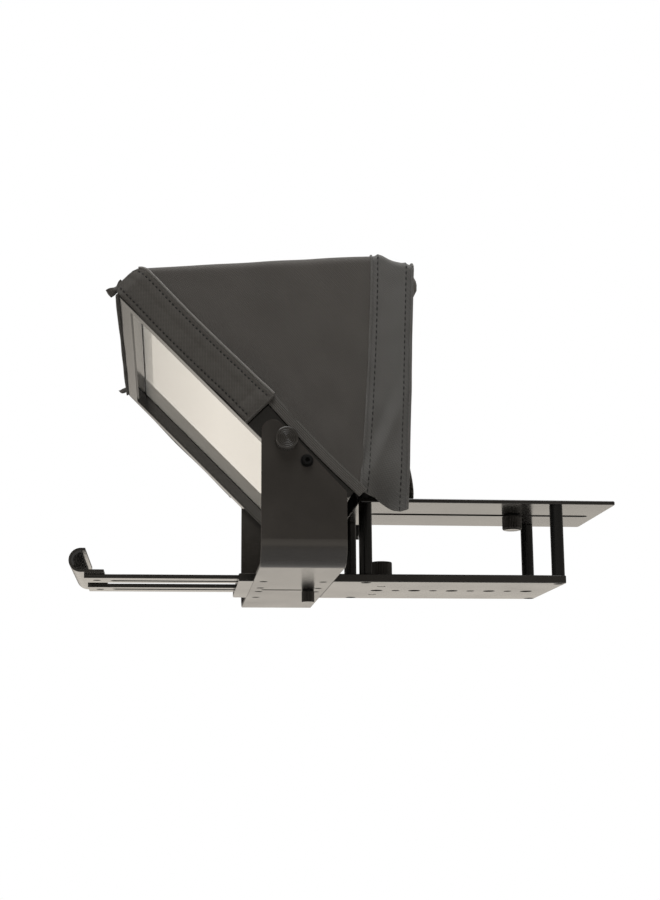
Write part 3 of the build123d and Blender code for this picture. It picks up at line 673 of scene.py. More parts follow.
def read_off(run: np.ndarray, values: np.ndarray, where: np.ndarray) -> np.ndarray:
    """Rows of a table of 3-vectors, read off at places between its own.

    Args:
        run: Place of each row.
        values: Array (n, 3).
        where: Places to read at.

    Returns:
        Array (m, 3), linear between rows.
    """
    return np.stack([np.interp(where, run, values[:, k]) for k in range(3)], -1)


def signed_power(value: np.ndarray, exponent: float) -> np.ndarray:
    """A power of the size that keeps the sign."""
    return np.sign(value) * np.abs(value) ** exponent


def stitches(
    name: str, line: np.ndarray, outward: np.ndarray, pitch: float, wide: float = 0.6 * MM
) -> bpy.types.Object:
    """A row of stitches lying on a cloth.

    Each stitch is a flat six-sided bead: two end points and a ring of four points at its middle,
    stretched along the line and raised along the outward direction.

    Args:
        name: Name of the row.
        line: Polyline on the cloth, array (n, 3).
        outward: Unit normals at the same points.
        pitch: Distance from one stitch to the next.
        wide: Width of a stitch.

    Returns:
        One mesh with all the stitches of the row.
    """
    step = np.linalg.norm(np.diff(line, axis=0), axis=1)
    run = np.concatenate([[0.0], np.cumsum(step)])
    count = max(2, int(run[-1] / pitch))
    middle = (np.arange(count) + 0.5) * run[-1] / count
    centre = read_off(run, line, middle)
    normal = read_off(run, outward, middle)
    ahead = read_off(run, line, np.minimum(middle + 0.1 * pitch, run[-1]))
    ahead -= read_off(run, line, np.maximum(middle - 0.1 * pitch, 0))
    ahead /= np.linalg.norm(ahead, axis=1, keepdims=True)
    side = np.cross(ahead, normal)
    half = 0.33 * pitch
    corners = np.stack(
        [
            centre - half * ahead - 0.1 * MM * normal,
            centre - 0.55 * half * ahead + wide * side + 0.15 * MM * normal,
            centre - 0.55 * half * ahead - wide * side + 0.15 * MM * normal,
            centre - 0.5 * half * ahead + 0.45 * MM * normal,
            centre + 0.55 * half * ahead + wide * side + 0.15 * MM * normal,
            centre + 0.55 * half * ahead - wide * side + 0.15 * MM * normal,
            centre + 0.5 * half * ahead + 0.45 * MM * normal,
            centre + half * ahead - 0.1 * MM * normal,
        ],
        axis=1,
    )
    shape = [(0, 3, 1), (0, 2, 3), (1, 3, 6, 4), (3, 2, 5, 6), (7, 4, 6), (7, 6, 5), (0, 1, 4, 7), (0, 7, 5, 2)]
    faces = [[8 * n + k for k in face] for n in range(count) for face in shape]
    mesh = bpy.data.meshes.new(name)
    mesh.from_pydata(corners.reshape(-1, 3).tolist(), [], faces)
    layer = mesh.uv_layers.new(name="UVMap")
    index = np.empty(len(mesh.loops), dtype=np.int64)
    mesh.loops.foreach_get("vertex_index", index)
    flat = corners.reshape(-1, 3)[:, [0, 2]] + corners.reshape(-1, 3)[:, [1, 1]]
    layer.data.foreach_set("uv", flat[index].astype(np.float32).ravel())
    piece = bpy.data.objects.new(name, mesh)
    bpy.context.scene.collection.objects.link(piece)
    weld(piece, 1e-7)
    dress(piece, Fabric.THREAD)
    return piece


def thicken(piece: bpy.types.Object, thickness: float, lined: bool = True) -> None:
    """Turn a cloth surface into a closed sheet, grown towards its inner side.

    Args:
        piece: Open surface whose faces point outwards.
        thickness: Thickness of the cloth.
        lined: Whether the inner side gets the dark lining.
    """
    if lined:
        piece.data.materials.append(finish_of(Fabric.LINING))
    modifier(
        piece,
        "SOLIDIFY",
        "cloth_thickness",
        thickness=thickness,
        offset=-1.0,
        use_even_offset=False,
        material_offset=1 if lined else 0,
    )
    apply_modifiers(piece)
    smooth(piece, 60.0)


# ---------------------------------------------------------------- hood


@dataclass
class Hood:
    """The sewn hood: flaps, shell, hem band, rear panel with its lens sleeve, and elastic."""

    place: TiltedFrame
    half: float = 146.9 * MM
    corner: float = 7.0 * MM
    top_front: tuple = (-214.5 * MM, 213.2 * MM)
    seam_x: float = -50.5 * MM
    hem_x: float = -20.5 * MM
    top_z: float = 227.6 * MM
    low_drop: float = 174.9 * MM
    flap_start: float = 2.0 * MM
    flap_end: float = 127.6 * MM
    flap_width: float = 27.0 * MM
    lens_z: float = 111.0 * MM
    sleeve_radius: float = 44.0 * MM
    stitch_pitch: float = 4.3 * MM
    cloth: float = 0.7 * MM
    web_width: float = 10.2 * MM
    web_length: float = 98.7 * MM
    shell_cut: float = 0.0750
    rear_cut: float = 0.0420
    overhang: float = 9.0 * MM
    columns: tuple = (70, 10, 90)
    bend_start: tuple = (-0.123, 0.0, 0.12)
    bend_end: tuple = (-0.060, 0.0, 0.12)
    parts: list = field(default_factory=list)

    def build(self) -> None:
        """Make every sewn piece."""
        self.shell()
        self.band()
        self.rear_panel()
        for sign in (-1, 1):
            self.flap(sign)
            self.elastic(sign)
        self.top_flap()
        log.info("hood: %d pieces", len(self.parts))

    def keep(self, piece: bpy.types.Object, body: str, *nodes: str, slot: str | None = None) -> None:
        """Put a finished piece on its body and let it stand for its CAD nodes.

        Args:
            piece: The finished piece.
            body: Body that it rides on, or "crossing" for cloth from the glass frame to the base.
            nodes: CAD nodes that it replaces.
            slot: Material slot of the record; not used.
        """
        if body == "crossing":
            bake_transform(piece)
        else:
            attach(piece, body)
        if nodes:
            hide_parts(*nodes)
        self.parts.append(piece)

    def section(self) -> tuple[np.ndarray, np.ndarray, np.ndarray]:
        """The hood's cross-section from the left lower edge, over the top, to the right one.

        Returns:
            Place across, drop below the top edge near the corners, and the share (0 to 1) of the
            side's remaining drop: a quarter circle joins each straight side to the flat top.
        """
        sides, turns, top = self.columns
        share = np.linspace(1.0, 0.0, sides, endpoint=False)
        angle = np.linspace(0.0, math.pi / 2, turns, endpoint=False)
        span = self.half - self.corner
        y_left = np.concatenate([np.full(sides, -self.half), -span - self.corner * np.cos(angle)])
        d_left = np.concatenate([np.full(sides, self.corner), self.corner * (1 - np.sin(angle))])
        s_left = np.concatenate([share, np.zeros(turns)])
        y = np.concatenate([y_left, np.linspace(-span, span, top), -y_left[::-1]])
        drop = np.concatenate([d_left, np.zeros(top), d_left[::-1]])
        return y, drop, np.concatenate([s_left, np.zeros(top), s_left[::-1]])

    def seam_line(self, drop: np.ndarray) -> np.ndarray:
        """X of the seam at a drop below the top: it leans forwards more and more going down."""
        return self.seam_x - 9.9 * MM * (np.clip(drop, 0, None) / self.low_drop) ** 1.6

    def hem_line(self, drop: np.ndarray) -> np.ndarray:
        """X of the hem at a drop below the top: a straight slight lean."""
        return self.hem_x - 0.0353 * np.clip(drop, 0, None)

    def shell(self) -> None:
        """Shell from the flaps to the seam.

        Row v runs from the front line to the seam. Every point is the top line's point plus a
        drop along the straight line from the top corner to the lower edge. Sag, tension folds
        from the lower front corner and small random waves move it along its normal.
        """
        y, base_drop, share = self.section()
        v = np.linspace(0.0, 1.0, 96)[:, None]
        x0, z0 = self.top_front
        top = np.stack([x0 + (self.seam_x - x0) * v, v * 0, z0 + (self.top_z - z0) * v], axis=-1)
        low_front = self.place.at(self.flap_end - 1.0 * MM, self.flap_width - 1.5 * MM, 0.0)
        low_back = np.array([float(self.seam_line(np.array(self.low_drop))), 0.0, self.top_z - self.low_drop])
        low = low_front + (low_back - low_front) * v[..., None]
        low[..., 2] += 1.5 * MM * np.sin(math.pi * v)
        reach = np.linalg.norm(low - top, axis=-1)
        down = (low - top) / reach[..., None]
        drop = base_drop[None, :] + share[None, :] * (reach - self.corner)
        points = top + down * drop[..., None]
        points[..., 1] = np.broadcast_to(y[None, :], drop.shape)
        lean = self.seam_line(drop) - (self.seam_x + (low_back[0] - self.seam_x) * drop / self.low_drop)
        points[..., 0] += lean * np.clip((v - 0.3) / 0.7, 0, 1) ** 2
        outward = -normals_of(points)
        edge = np.sin(math.pi * np.clip(v, 0, 1)) ** 0.7
        on_top = np.clip(1.0 - drop / (12 * MM), 0, 1)
        sag = -3.2 * MM * np.cos(np.pi * np.clip(points[..., 1] / (2 * self.half), -0.5, 0.5)) * on_top
        belly = 1.3 * MM * np.sin(math.pi * np.clip(share, 0, 1))[None, :] * (1 - on_top)
        fold = (points[..., 0] - low_front[0]) - 0.75 * (points[..., 2] - low_front[2])
        tension = 0.55 * MM * np.cos(fold * TAU / (46 * MM)) * bell(drop, 0.13, 0.05) * (1 - on_top)
        small = 0.40 * MM * ripples(points[..., 0] + points[..., 1], points[..., 2], 11, 42 * MM)
        small *= 1 - 0.8 * bell(drop, 0.0, 0.022)
        points += outward * (edge * (sag + belly + tension + small))[..., None]
        points[-14:, :, :] += outward[-14:] * (0.5 * MM * np.linspace(0, 1, 14) ** 2)[:, None, None]
        piece = grid_object("hood_shell_cloth", points, surface_uv(points))
        self.face_outwards(piece, (-0.1, 0.0, 0.15))
        dress(piece, Fabric.SHELL)
        thicken(piece, self.cloth)
        self.keep(piece, "crossing", "hood_side_left", "hood_side_right", "hood_top_panel", slot="hood_cloth")

    def face_outwards(self, piece: bpy.types.Object, inside: tuple[float, float, float]) -> None:
        """Turn a surface's faces away from a point inside it."""
        mesh = piece.data
        count = len(mesh.polygons)
        centre, normal = np.empty(count * 3), np.empty(count * 3)
        mesh.polygons.foreach_get("center", centre)
        mesh.polygons.foreach_get("normal", normal)
        away = centre.reshape(-1, 3) - np.array(inside)
        if (away * normal.reshape(-1, 3)).sum() < 0:
            mesh.flip_normals()

    def band_surface(self) -> np.ndarray:
        """Grid of the hem band, from the seam (first row) to the hem (last row).

        The lower edge sags on the left side and stays short on the right one. The top edge rises
        to a low ridge behind the seam and falls towards the hem. A soft fold bulges outwards at
        the lower left corner, and a shallow hollow runs down in front of it.
        """
        y, base_drop, share = self.section()
        v = np.linspace(0.0, 1.0, 40)[:, None]
        sag_left = np.interp(v[:, 0], [0, 0.36, 0.55, 0.73, 0.85, 1], [175.1, 178, 182.4, 187.2, 188.6, 187.4])
        sag_right = np.interp(v[:, 0], [0, 0.5, 1], [175.1, 170.0, 165.0])
        left = (y < 0)[None, :]
        reach = np.where(left, sag_left[:, None], sag_right[:, None]) * MM
        drop = base_drop[None, :] + share[None, :] * (reach - self.corner)
        x = self.seam_line(drop) * (1 - v) + self.hem_line(drop) * v
        near_corner = np.clip(np.abs(y) / self.half, 0, 1)[None, :] ** 4
        ridge = 2.6 * MM * bell(v, 0.26, 0.2) - 6.2 * MM * np.clip((v - 0.25) / 0.75, 0, 1) ** 1.2 * (
            0.35 + 0.65 * near_corner
        )
        z = self.top_z - drop + ridge * np.clip(1 - drop / (150 * MM), 0, 1) ** 3
        across = np.broadcast_to(y[None, :], drop.shape).copy()
        points = np.stack([x, across, z], axis=-1)
        outward = -normals_of(points)
        side = 1 - np.clip(1.0 - drop / (12 * MM), 0, 1)
        bulge = 15.0 * MM * bell(drop, 0.187, 0.016) * bell(v, 0.5, 0.33) * side
        fold_at = 0.78 - 11.0 * (drop - 0.11)
        hollow = -3.0 * MM * bell(v, fold_at, 0.17) * bell(drop, 0.135, 0.03) * side
        hollow += 1.3 * MM * bell(v, fold_at - 0.3, 0.15) * bell(drop, 0.13, 0.035) * side
        puff = 1.0 * MM * np.sin(math.pi * v) ** 2
        sag = -2.6 * MM * np.cos(np.pi * np.clip(across / (2 * self.half), -0.5, 0.5)) * (1 - side)
        waves = 0.35 * MM * ripples(across + x, z, 5, 30 * MM)
        pinch = -0.7 * MM * (bell(v, 0.16, 0.05) + bell(v, 0.84, 0.05))
        lift = 0.9 * MM * np.ones_like(drop)
        bulge = bulge * np.where(left, 1.0, 0.45)
        points += outward * (lift + puff + bulge + hollow + sag + waves + pinch)[..., None]
        return points

    def band(self) -> None:
        """Hem band: the double-stitched casing round the rear of the shell, with its seam cord."""
        points = self.band_surface()
        self.hem = points[-1]
        outward = -normals_of(points)
        piece = grid_object("hood_band_cloth", points, surface_uv(points))
        self.face_outwards(piece, (-0.04, 0.0, 0.13))
        dress(piece, Fabric.BAND)
        thicken(piece, 1.1 * MM)
        self.keep(
            piece, "base", "hood_band_left", "hood_band_right", "hood_band_top", slot="hood_band_cloth"
        )
        for at, seam in ((6, "front"), (33, "hem")):
            line = stitches(f"band_stitches_{seam}", points[at], outward[at], self.stitch_pitch)
            self.keep(line, "base")
        edge = tube("band_seam_edge", points[0] - 0.7 * MM * outward[0], 0.75 * MM, 8, 0.8)
        dress(edge, Fabric.BAND)
        self.keep(edge, "base", slot="hood_band_cloth")
        roll = tube("band_hem_edge", points[-1] - 0.9 * MM * outward[-1], 0.95 * MM, 8, 0.9)
        dress(roll, Fabric.BAND)
        self.keep(roll, "base", slot="hood_band_cloth")

    def rear_panel(self) -> None:
        """Rear panel: a gathered cloth from the hem to an elastic sleeve round the lens.

        A point is the hem ring times (1 - w) plus the sleeve ring times w, where both rings are
        walked by the same angle about the lens axis. Pleats are ripples along the axis whose
        depth grows towards the sleeve.
        """
        count = 260
        low = self.hem[0], self.hem[-1]
        across = np.linspace(-1.0, 1.0, 60)[1:-1]
        floor_z = np.interp(
            across,
            [-1, -0.62, -0.42, 0.42, 0.62, 1],
            [low[0][2], 57 * MM, 66.5 * MM, 66.5 * MM, 64.5 * MM, low[1][2]],
        )
        under = np.stack(
            [np.full_like(across, low[0][0]) - 0.5 * MM, -across * self.half * 0.985, floor_z[::-1]], axis=-1
        )
        ring = np.concatenate([self.hem * [1, 0.988, 1] + [-1.2 * MM, 0, 0], under])
        angle = np.unwrap(np.arctan2(ring[:, 2] - self.lens_z, ring[:, 1]))
        order = np.linspace(angle[0], angle[0] - TAU, count, endpoint=False)
        track = np.concatenate([angle, [angle[0] - TAU]])
        closed = np.concatenate([ring, ring[:1]])
        hem = np.stack([np.interp(-order, -track, closed[:, k]) for k in range(3)], axis=-1)
        w = np.linspace(0.0, 1.0, 34)[:, None]
        ease = w**0.85
        radius = self.sleeve_radius * np.ones(count)
        sleeve = np.stack(
            [
                -17.0 * MM + 13.0 * MM * np.clip(-np.sin(order) - 0.35, 0, 1),
                radius * np.cos(order),
                self.lens_z + np.maximum(radius * np.sin(order), -45.0 * MM),
            ],
            axis=-1,
        )
        points = hem[None] * (1 - ease[..., None]) + sleeve[None] * ease[..., None]
        pleat = np.sin(order * 34 + 1.5 * np.sin(order * 5))[None, :]
        hang = np.sin(math.pi * w) * 2.5 * MM
        points[..., 0] += (-hang + pleat * w**1.6 * 1.9 * MM)
        points[..., 0] += 0.8 * MM * ripples(points[..., 1], points[..., 2], 21, 60 * MM) * np.sin(math.pi * w)
        puff = bell(points[..., 1], -0.136, 0.016) * bell(points[..., 2], 0.210, 0.013)
        points[..., 0] += puff * 8.5 * MM * np.clip(w * 12, 0, 1)
        # The cloth clears the camera screw's tip in the slot, and comes down again at the sleeve.
        clear = (65.6 + 4.6 * np.clip((1 - w) * 3, 0, 1)) * MM
        points[..., 2] = np.maximum(points[..., 2], np.where(np.abs(points[..., 1]) < 60 * MM, clear, 0))
        piece = grid_object("hood_rear_cloth", points, surface_uv(points), wrap_v=True)
        weld(piece)
        self.face_outwards(piece, (-0.15, 0.0, 0.13))
        dress(piece, Fabric.SHELL)
        thicken(piece, 0.6 * MM)
        self.keep(piece, "base", "hood_rear_panel", slot="hood_cloth")
        self.sleeve(order)

    def sleeve(self, order: np.ndarray) -> None:
        """Gathered elastic round the lens: a ring whose radius ripples, rolled at its outer end."""
        v = np.linspace(0.0, 1.0, 22)[:, None]
        a = order[None, :]
        start = -18.0 * MM + 13.0 * MM * np.clip(-np.sin(a) - 0.35, 0, 1)
        gather = (0.9 * np.sin(a * 52 + 0.8 * np.sin(7 * a)) + 0.5 * np.sin(a * 23)) * MM
        radius = self.sleeve_radius - 4.2 * MM * v**0.7 + gather * (0.5 + 0.7 * np.sin(math.pi * v) ** 2)
        radius += 1.3 * MM * bell(v, 0.85, 0.14)
        z = self.lens_z + radius * np.sin(a)
        floor = 65.4 * MM + 0.4 * MM * v
        points = np.stack(
            np.broadcast_arrays(start + 9.0 * MM * v, radius * np.cos(a), np.maximum(z, floor)), axis=-1
        )
        piece = grid_object("hood_lens_sleeve", points, surface_uv(points), wrap_v=True)
        self.face_outwards(piece, (-0.012, 0.0, self.lens_z))
        dress(piece, Fabric.WEBBING)
        thicken(piece, 0.9 * MM, lined=False)
        self.keep(piece, "base", slot="elastic_web")

    def slab(
        self, name: str, along_points: np.ndarray, across_points: np.ndarray, out: np.ndarray, thick: np.ndarray
    ) -> bpy.types.Object:
        """A doubled cloth strip with rounded folded edges.

        The strip's section is a flattened loop: its two faces lie half a thickness either side of
        the middle surface, and half circles join them at both edges.

        Args:
            name: Name of the strip.
            along_points: Array (rows, 3) of points on the strip's first long edge.
            across_points: Array (rows, 3) of the width vectors from that edge to the other.
            out: Array (3,) or (rows, 3), unit direction out of the strip.
            thick: Array (rows, n) of thicknesses over the width.

        Returns:
            The closed strip.
        """
        rows, n = thick.shape
        out = np.broadcast_to(out, (rows, 3))
        share = (1 - np.cos(np.linspace(0, math.pi, n))) / 2
        middle = along_points[:, None] + share[None, :, None] * across_points[:, None]
        edge = np.sqrt(np.clip(1 - np.abs(2 * share - 1) ** 14, 0, 1))
        rise = out[:, None] * (0.5 * thick * edge)[..., None]
        loop = np.concatenate([middle + rise, (middle - rise)[:, ::-1][:, 1:-1]], axis=1)
        run = np.concatenate([[0.0], np.cumsum(np.linalg.norm(np.diff(along_points, axis=0), axis=1))])
        width = np.linalg.norm(across_points, axis=1).mean()
        flat = np.concatenate([share, share[::-1][1:-1]]) * width
        uv = np.stack(np.meshgrid(run, flat, indexing="ij"), axis=-1)
        piece = grid_object(name, loop, uv, wrap_v=True, caps=True)
        weld(piece)
        return piece

    def flap(self, sign: int) -> None:
        """Side flap over a side bar: doubled cloth, two rows of stitches, and piping.

        Args:
            sign: -1 for the left flap, 1 for the right one.
        """
        side = "left" if sign < 0 else "right"
        rows, n = 110, 33
        slope = np.linspace(self.flap_start - self.overhang, self.flap_end, rows)
        wave = 0.9 * MM * ripples(slope, slope * 0, 31 + sign, 60 * MM)
        face = self.half + 0.8 * MM + 0.35 * wave + 1.2 * MM * bell(slope, 0.128, 0.012)
        end = np.clip(1 - (slope - slope[0]) / (8.0 * MM), 0, 1)
        pinch = 6.5 * MM * (1 - np.sqrt(1 - end**2))
        near = self.place.at(slope, 0.3 * MM + 0.5 * wave + 0.7 * pinch, sign * (face - 2.5 * MM * end))
        far_depth = self.flap_width + 0.4 * wave + 0.9 * MM * bell(slope, 0.125, 0.01) - pinch
        far = self.place.at(slope, far_depth, sign * (face + 0.5 * MM - 2.5 * MM * end))
        share = (1 - np.cos(np.linspace(0, math.pi, n))) / 2
        seam = bell(share, 0.13, 0.035) + bell(share, 0.87, 0.035)
        puff = 2.0 + 0.5 * np.sin(math.pi * share) - 0.75 * seam
        fold = 1.0 + 0.5 * bell(slope, 0.1215, 0.005) - 0.3 * bell(slope, 0.1150, 0.0015)
        lumps = 0.22 * ripples(slope[:, None], share[None, :] * self.flap_width, 7 + sign, 14 * MM)
        lumps += 0.55 * bell(share, 0.70, 0.10) - 0.45 * bell(share, 0.56, 0.035)
        thick = (puff[None, :] * fold[:, None] + lumps) * MM
        out = np.array([0.0, float(sign), 0.0])
        piece = self.slab(f"hood_flap_{side}_cloth", near, far - near, out, thick)
        dress(piece, Fabric.FLAP)
        self.keep(piece, "frame", f"hood_flap_{side}", slot="hood_cloth")
        for at, name in ((0.13, "inner"), (0.87, "outer")):
            column = int(np.argmin(np.abs(share - at)))
            line = near + (far - near) * share[column] + out * (0.5 * thick[:, column, None])
            normal = np.broadcast_to(out, line.shape)
            made = stitches(f"flap_{side}_stitches_{name}", line[2:-2], normal[2:-2], 3.4 * MM)
            self.keep(made, "frame")
        cord_line = far + out * 0.4 * MM + self.place.back * 0.6 * MM
        piping = tube(f"flap_{side}_piping", cord_line[1:-1], 0.95 * MM, 10)
        dress(piping, Fabric.PIPING)
        self.keep(piping, "frame", slot="hood_band_cloth")
        cut = tube(f"flap_{side}_end_hem", np.linspace(near[-1], far[-1], 14) + out * 0.3 * MM, 1.35 * MM, 10, 0.9)
        dress(cut, Fabric.FLAP)
        self.keep(cut, "frame", slot="hood_cloth")
        self.corner_tab(sign, side)

    def corner_tab(self, sign: int, side: str) -> None:
        """Loose end of the top flap at an upper corner: a short crumpled tongue.

        Args:
            sign: -1 for the left corner, 1 for the right one.
            side: Name of the side.
        """
        rows, n = 26, 21
        t = np.linspace(0.0, 1.0, rows)
        depth = -3.5 * MM + 13.0 * MM * t
        curl = 1.5 * MM * np.sin(5 * t)
        start = self.place.at(-6.0 * MM + 3.0 * MM * t**2, depth, sign * (self.half - 7.0 * MM) + 0 * t)
        start[:, 1] += sign * 0.4 * curl
        width = np.zeros_like(start)
        width[:, 1] = sign * (6.0 * MM + 1.2 * MM * np.sin(7 * t))
        width += self.place.down * (2.0 * MM * np.sin(4 * t) - 2.6 * MM)[:, None]
        thick = np.full((rows, n), 3.4 * MM) * (1 + 0.25 * np.sin(9 * t))[:, None]
        piece = self.slab(f"corner_tab_{side}", start, width, -self.place.down, thick)
        dress(piece, Fabric.FLAP)
        self.keep(piece, "frame", slot="hood_cloth")

    def top_flap(self) -> None:
        """Flap over the top bar: doubled cloth whose front edge hangs a little past the bar."""
        rows, n = 150, 25
        y = np.linspace(-self.half + 1.2 * MM, self.half - 1.2 * MM, rows)
        wave = ripples(y, y * 0, 3, 75 * MM)
        lift = -1.6 * MM - 0.35 * MM * wave
        near = self.place.at(lift, -2.0 * MM + 0.8 * MM * wave, y)
        far = self.place.at(lift - 0.3 * MM, self.flap_width + 0.6 * MM * wave, y)
        share = (1 - np.cos(np.linspace(0, math.pi, n))) / 2
        seam = bell(share, 0.13, 0.035) + bell(share, 0.87, 0.035)
        thick = np.broadcast_to((1.8 + 0.5 * np.sin(math.pi * share) - 0.6 * seam) * MM, (rows, n)).copy()
        piece = self.slab("hood_flap_top_cloth", near, far - near, -self.place.down, thick)
        dress(piece, Fabric.FLAP)
        self.keep(piece, "frame", "hood_flap_top", slot="hood_cloth")
        out = -self.place.down
        for at, name in ((0.13, "inner"), (0.87, "outer")):
            column = int(np.argmin(np.abs(share - at)))
            line = near + (far - near) * share[column] + out * (0.5 * thick[:, column, None])
            made = stitches(
                f"flap_top_stitches_{name}",
                line,
                np.broadcast_to(out, line.shape),
                3.4 * MM,
            )
            self.keep(made, "frame")
        piping = tube("flap_top_piping", far + out * 0.3 * MM + self.place.back * 0.5 * MM, 0.95 * MM, 10)
        dress(piping, Fabric.PIPING)
        self.keep(piping, "frame", slot="hood_band_cloth")

    def elastic(self, sign: int) -> None:
        """Ribbed elastic from a flap's lower end to the band, stretched along the side bar.

        Stretching leaves about three quarters of its slack width.

        Args:
            sign: -1 for the left one, 1 for the right one.
        """
        side = "left" if sign < 0 else "right"
        rows, n = 90, 49
        t = np.linspace(0.0, 1.0, rows)
        first = self.place.at(self.flap_end - 6.0 * MM, 21.5 * MM, 0.0)
        seam_x = float(self.seam_line(np.array(self.low_drop)))
        last = np.array([seam_x - 1.0 * MM, 0.0, self.top_z - self.low_drop - 4.0 * MM])
        line = first + (last - first) * t[:, None]
        line[:, 1] = sign * (self.half - 0.3 * MM)
        line -= self.place.back * (1.6 * MM * np.sin(math.pi * t))[:, None]
        width = np.broadcast_to(self.place.back * 0.76 * self.web_width, line.shape)
        share = (1 - np.cos(np.linspace(0, math.pi, n))) / 2
        ribs = 0.32 * np.cos(share * TAU * 6)[None, :] + 0.10 * np.sin(t * TAU * 70)[:, None]
        thick = (1.7 + ribs) * MM
        piece = self.slab(f"hood_elastic_{side}_web", line, width, np.array([0.0, float(sign), 0.0]), thick)
        dress(piece, Fabric.WEBBING)
        self.keep(piece, "crossing", f"hood_elastic_{side}", slot="elastic_web")


# ---------------------------------------------------------------- turned and moulded parts


def knob_profile(radius: float, height: float, bevel: float, dish: float, rings: int = 0) -> np.ndarray:
    """Profile of a knob from the middle of its foot to the middle of its face.

    Args:
        radius: Outer radius.
        height: Height from foot to face.
        bevel: Width of the rim's rounded bevel.
        dish: Depth of the shallow hollow in the face.
        rings: Number of turned rings in the face.

    Returns:
        Array (n, 2) of radius and height: foot, straight side, quarter-round rim, then the face
        whose height dips towards the middle and steps down at each ring.
    """
    foot = np.stack([np.linspace(0, radius - 0.4 * MM, 6), np.zeros(6)], axis=-1)
    side_z = np.linspace(0.4 * MM, height - bevel, 14)
    side = np.stack([np.full(14, radius), side_z], axis=-1)
    a = np.linspace(0, math.pi / 2, 7)[1:]
    rim = np.stack([radius - bevel + bevel * np.cos(a), height - bevel + bevel * np.sin(a)], axis=-1)
    r = np.linspace(radius - bevel, 0, 70)[1:]
    level = height - dish * (1 - (r / (radius - bevel)) ** 2)
    if rings:
        at = (np.arange(rings) + 1.0) / (rings + 1.0) * (radius - bevel)
        level = level - 0.4 * MM * sum(bell(r, place, 0.2 * MM) for place in at)
    face = np.stack([r, level], axis=-1)
    return np.concatenate([foot, side, rim, face])


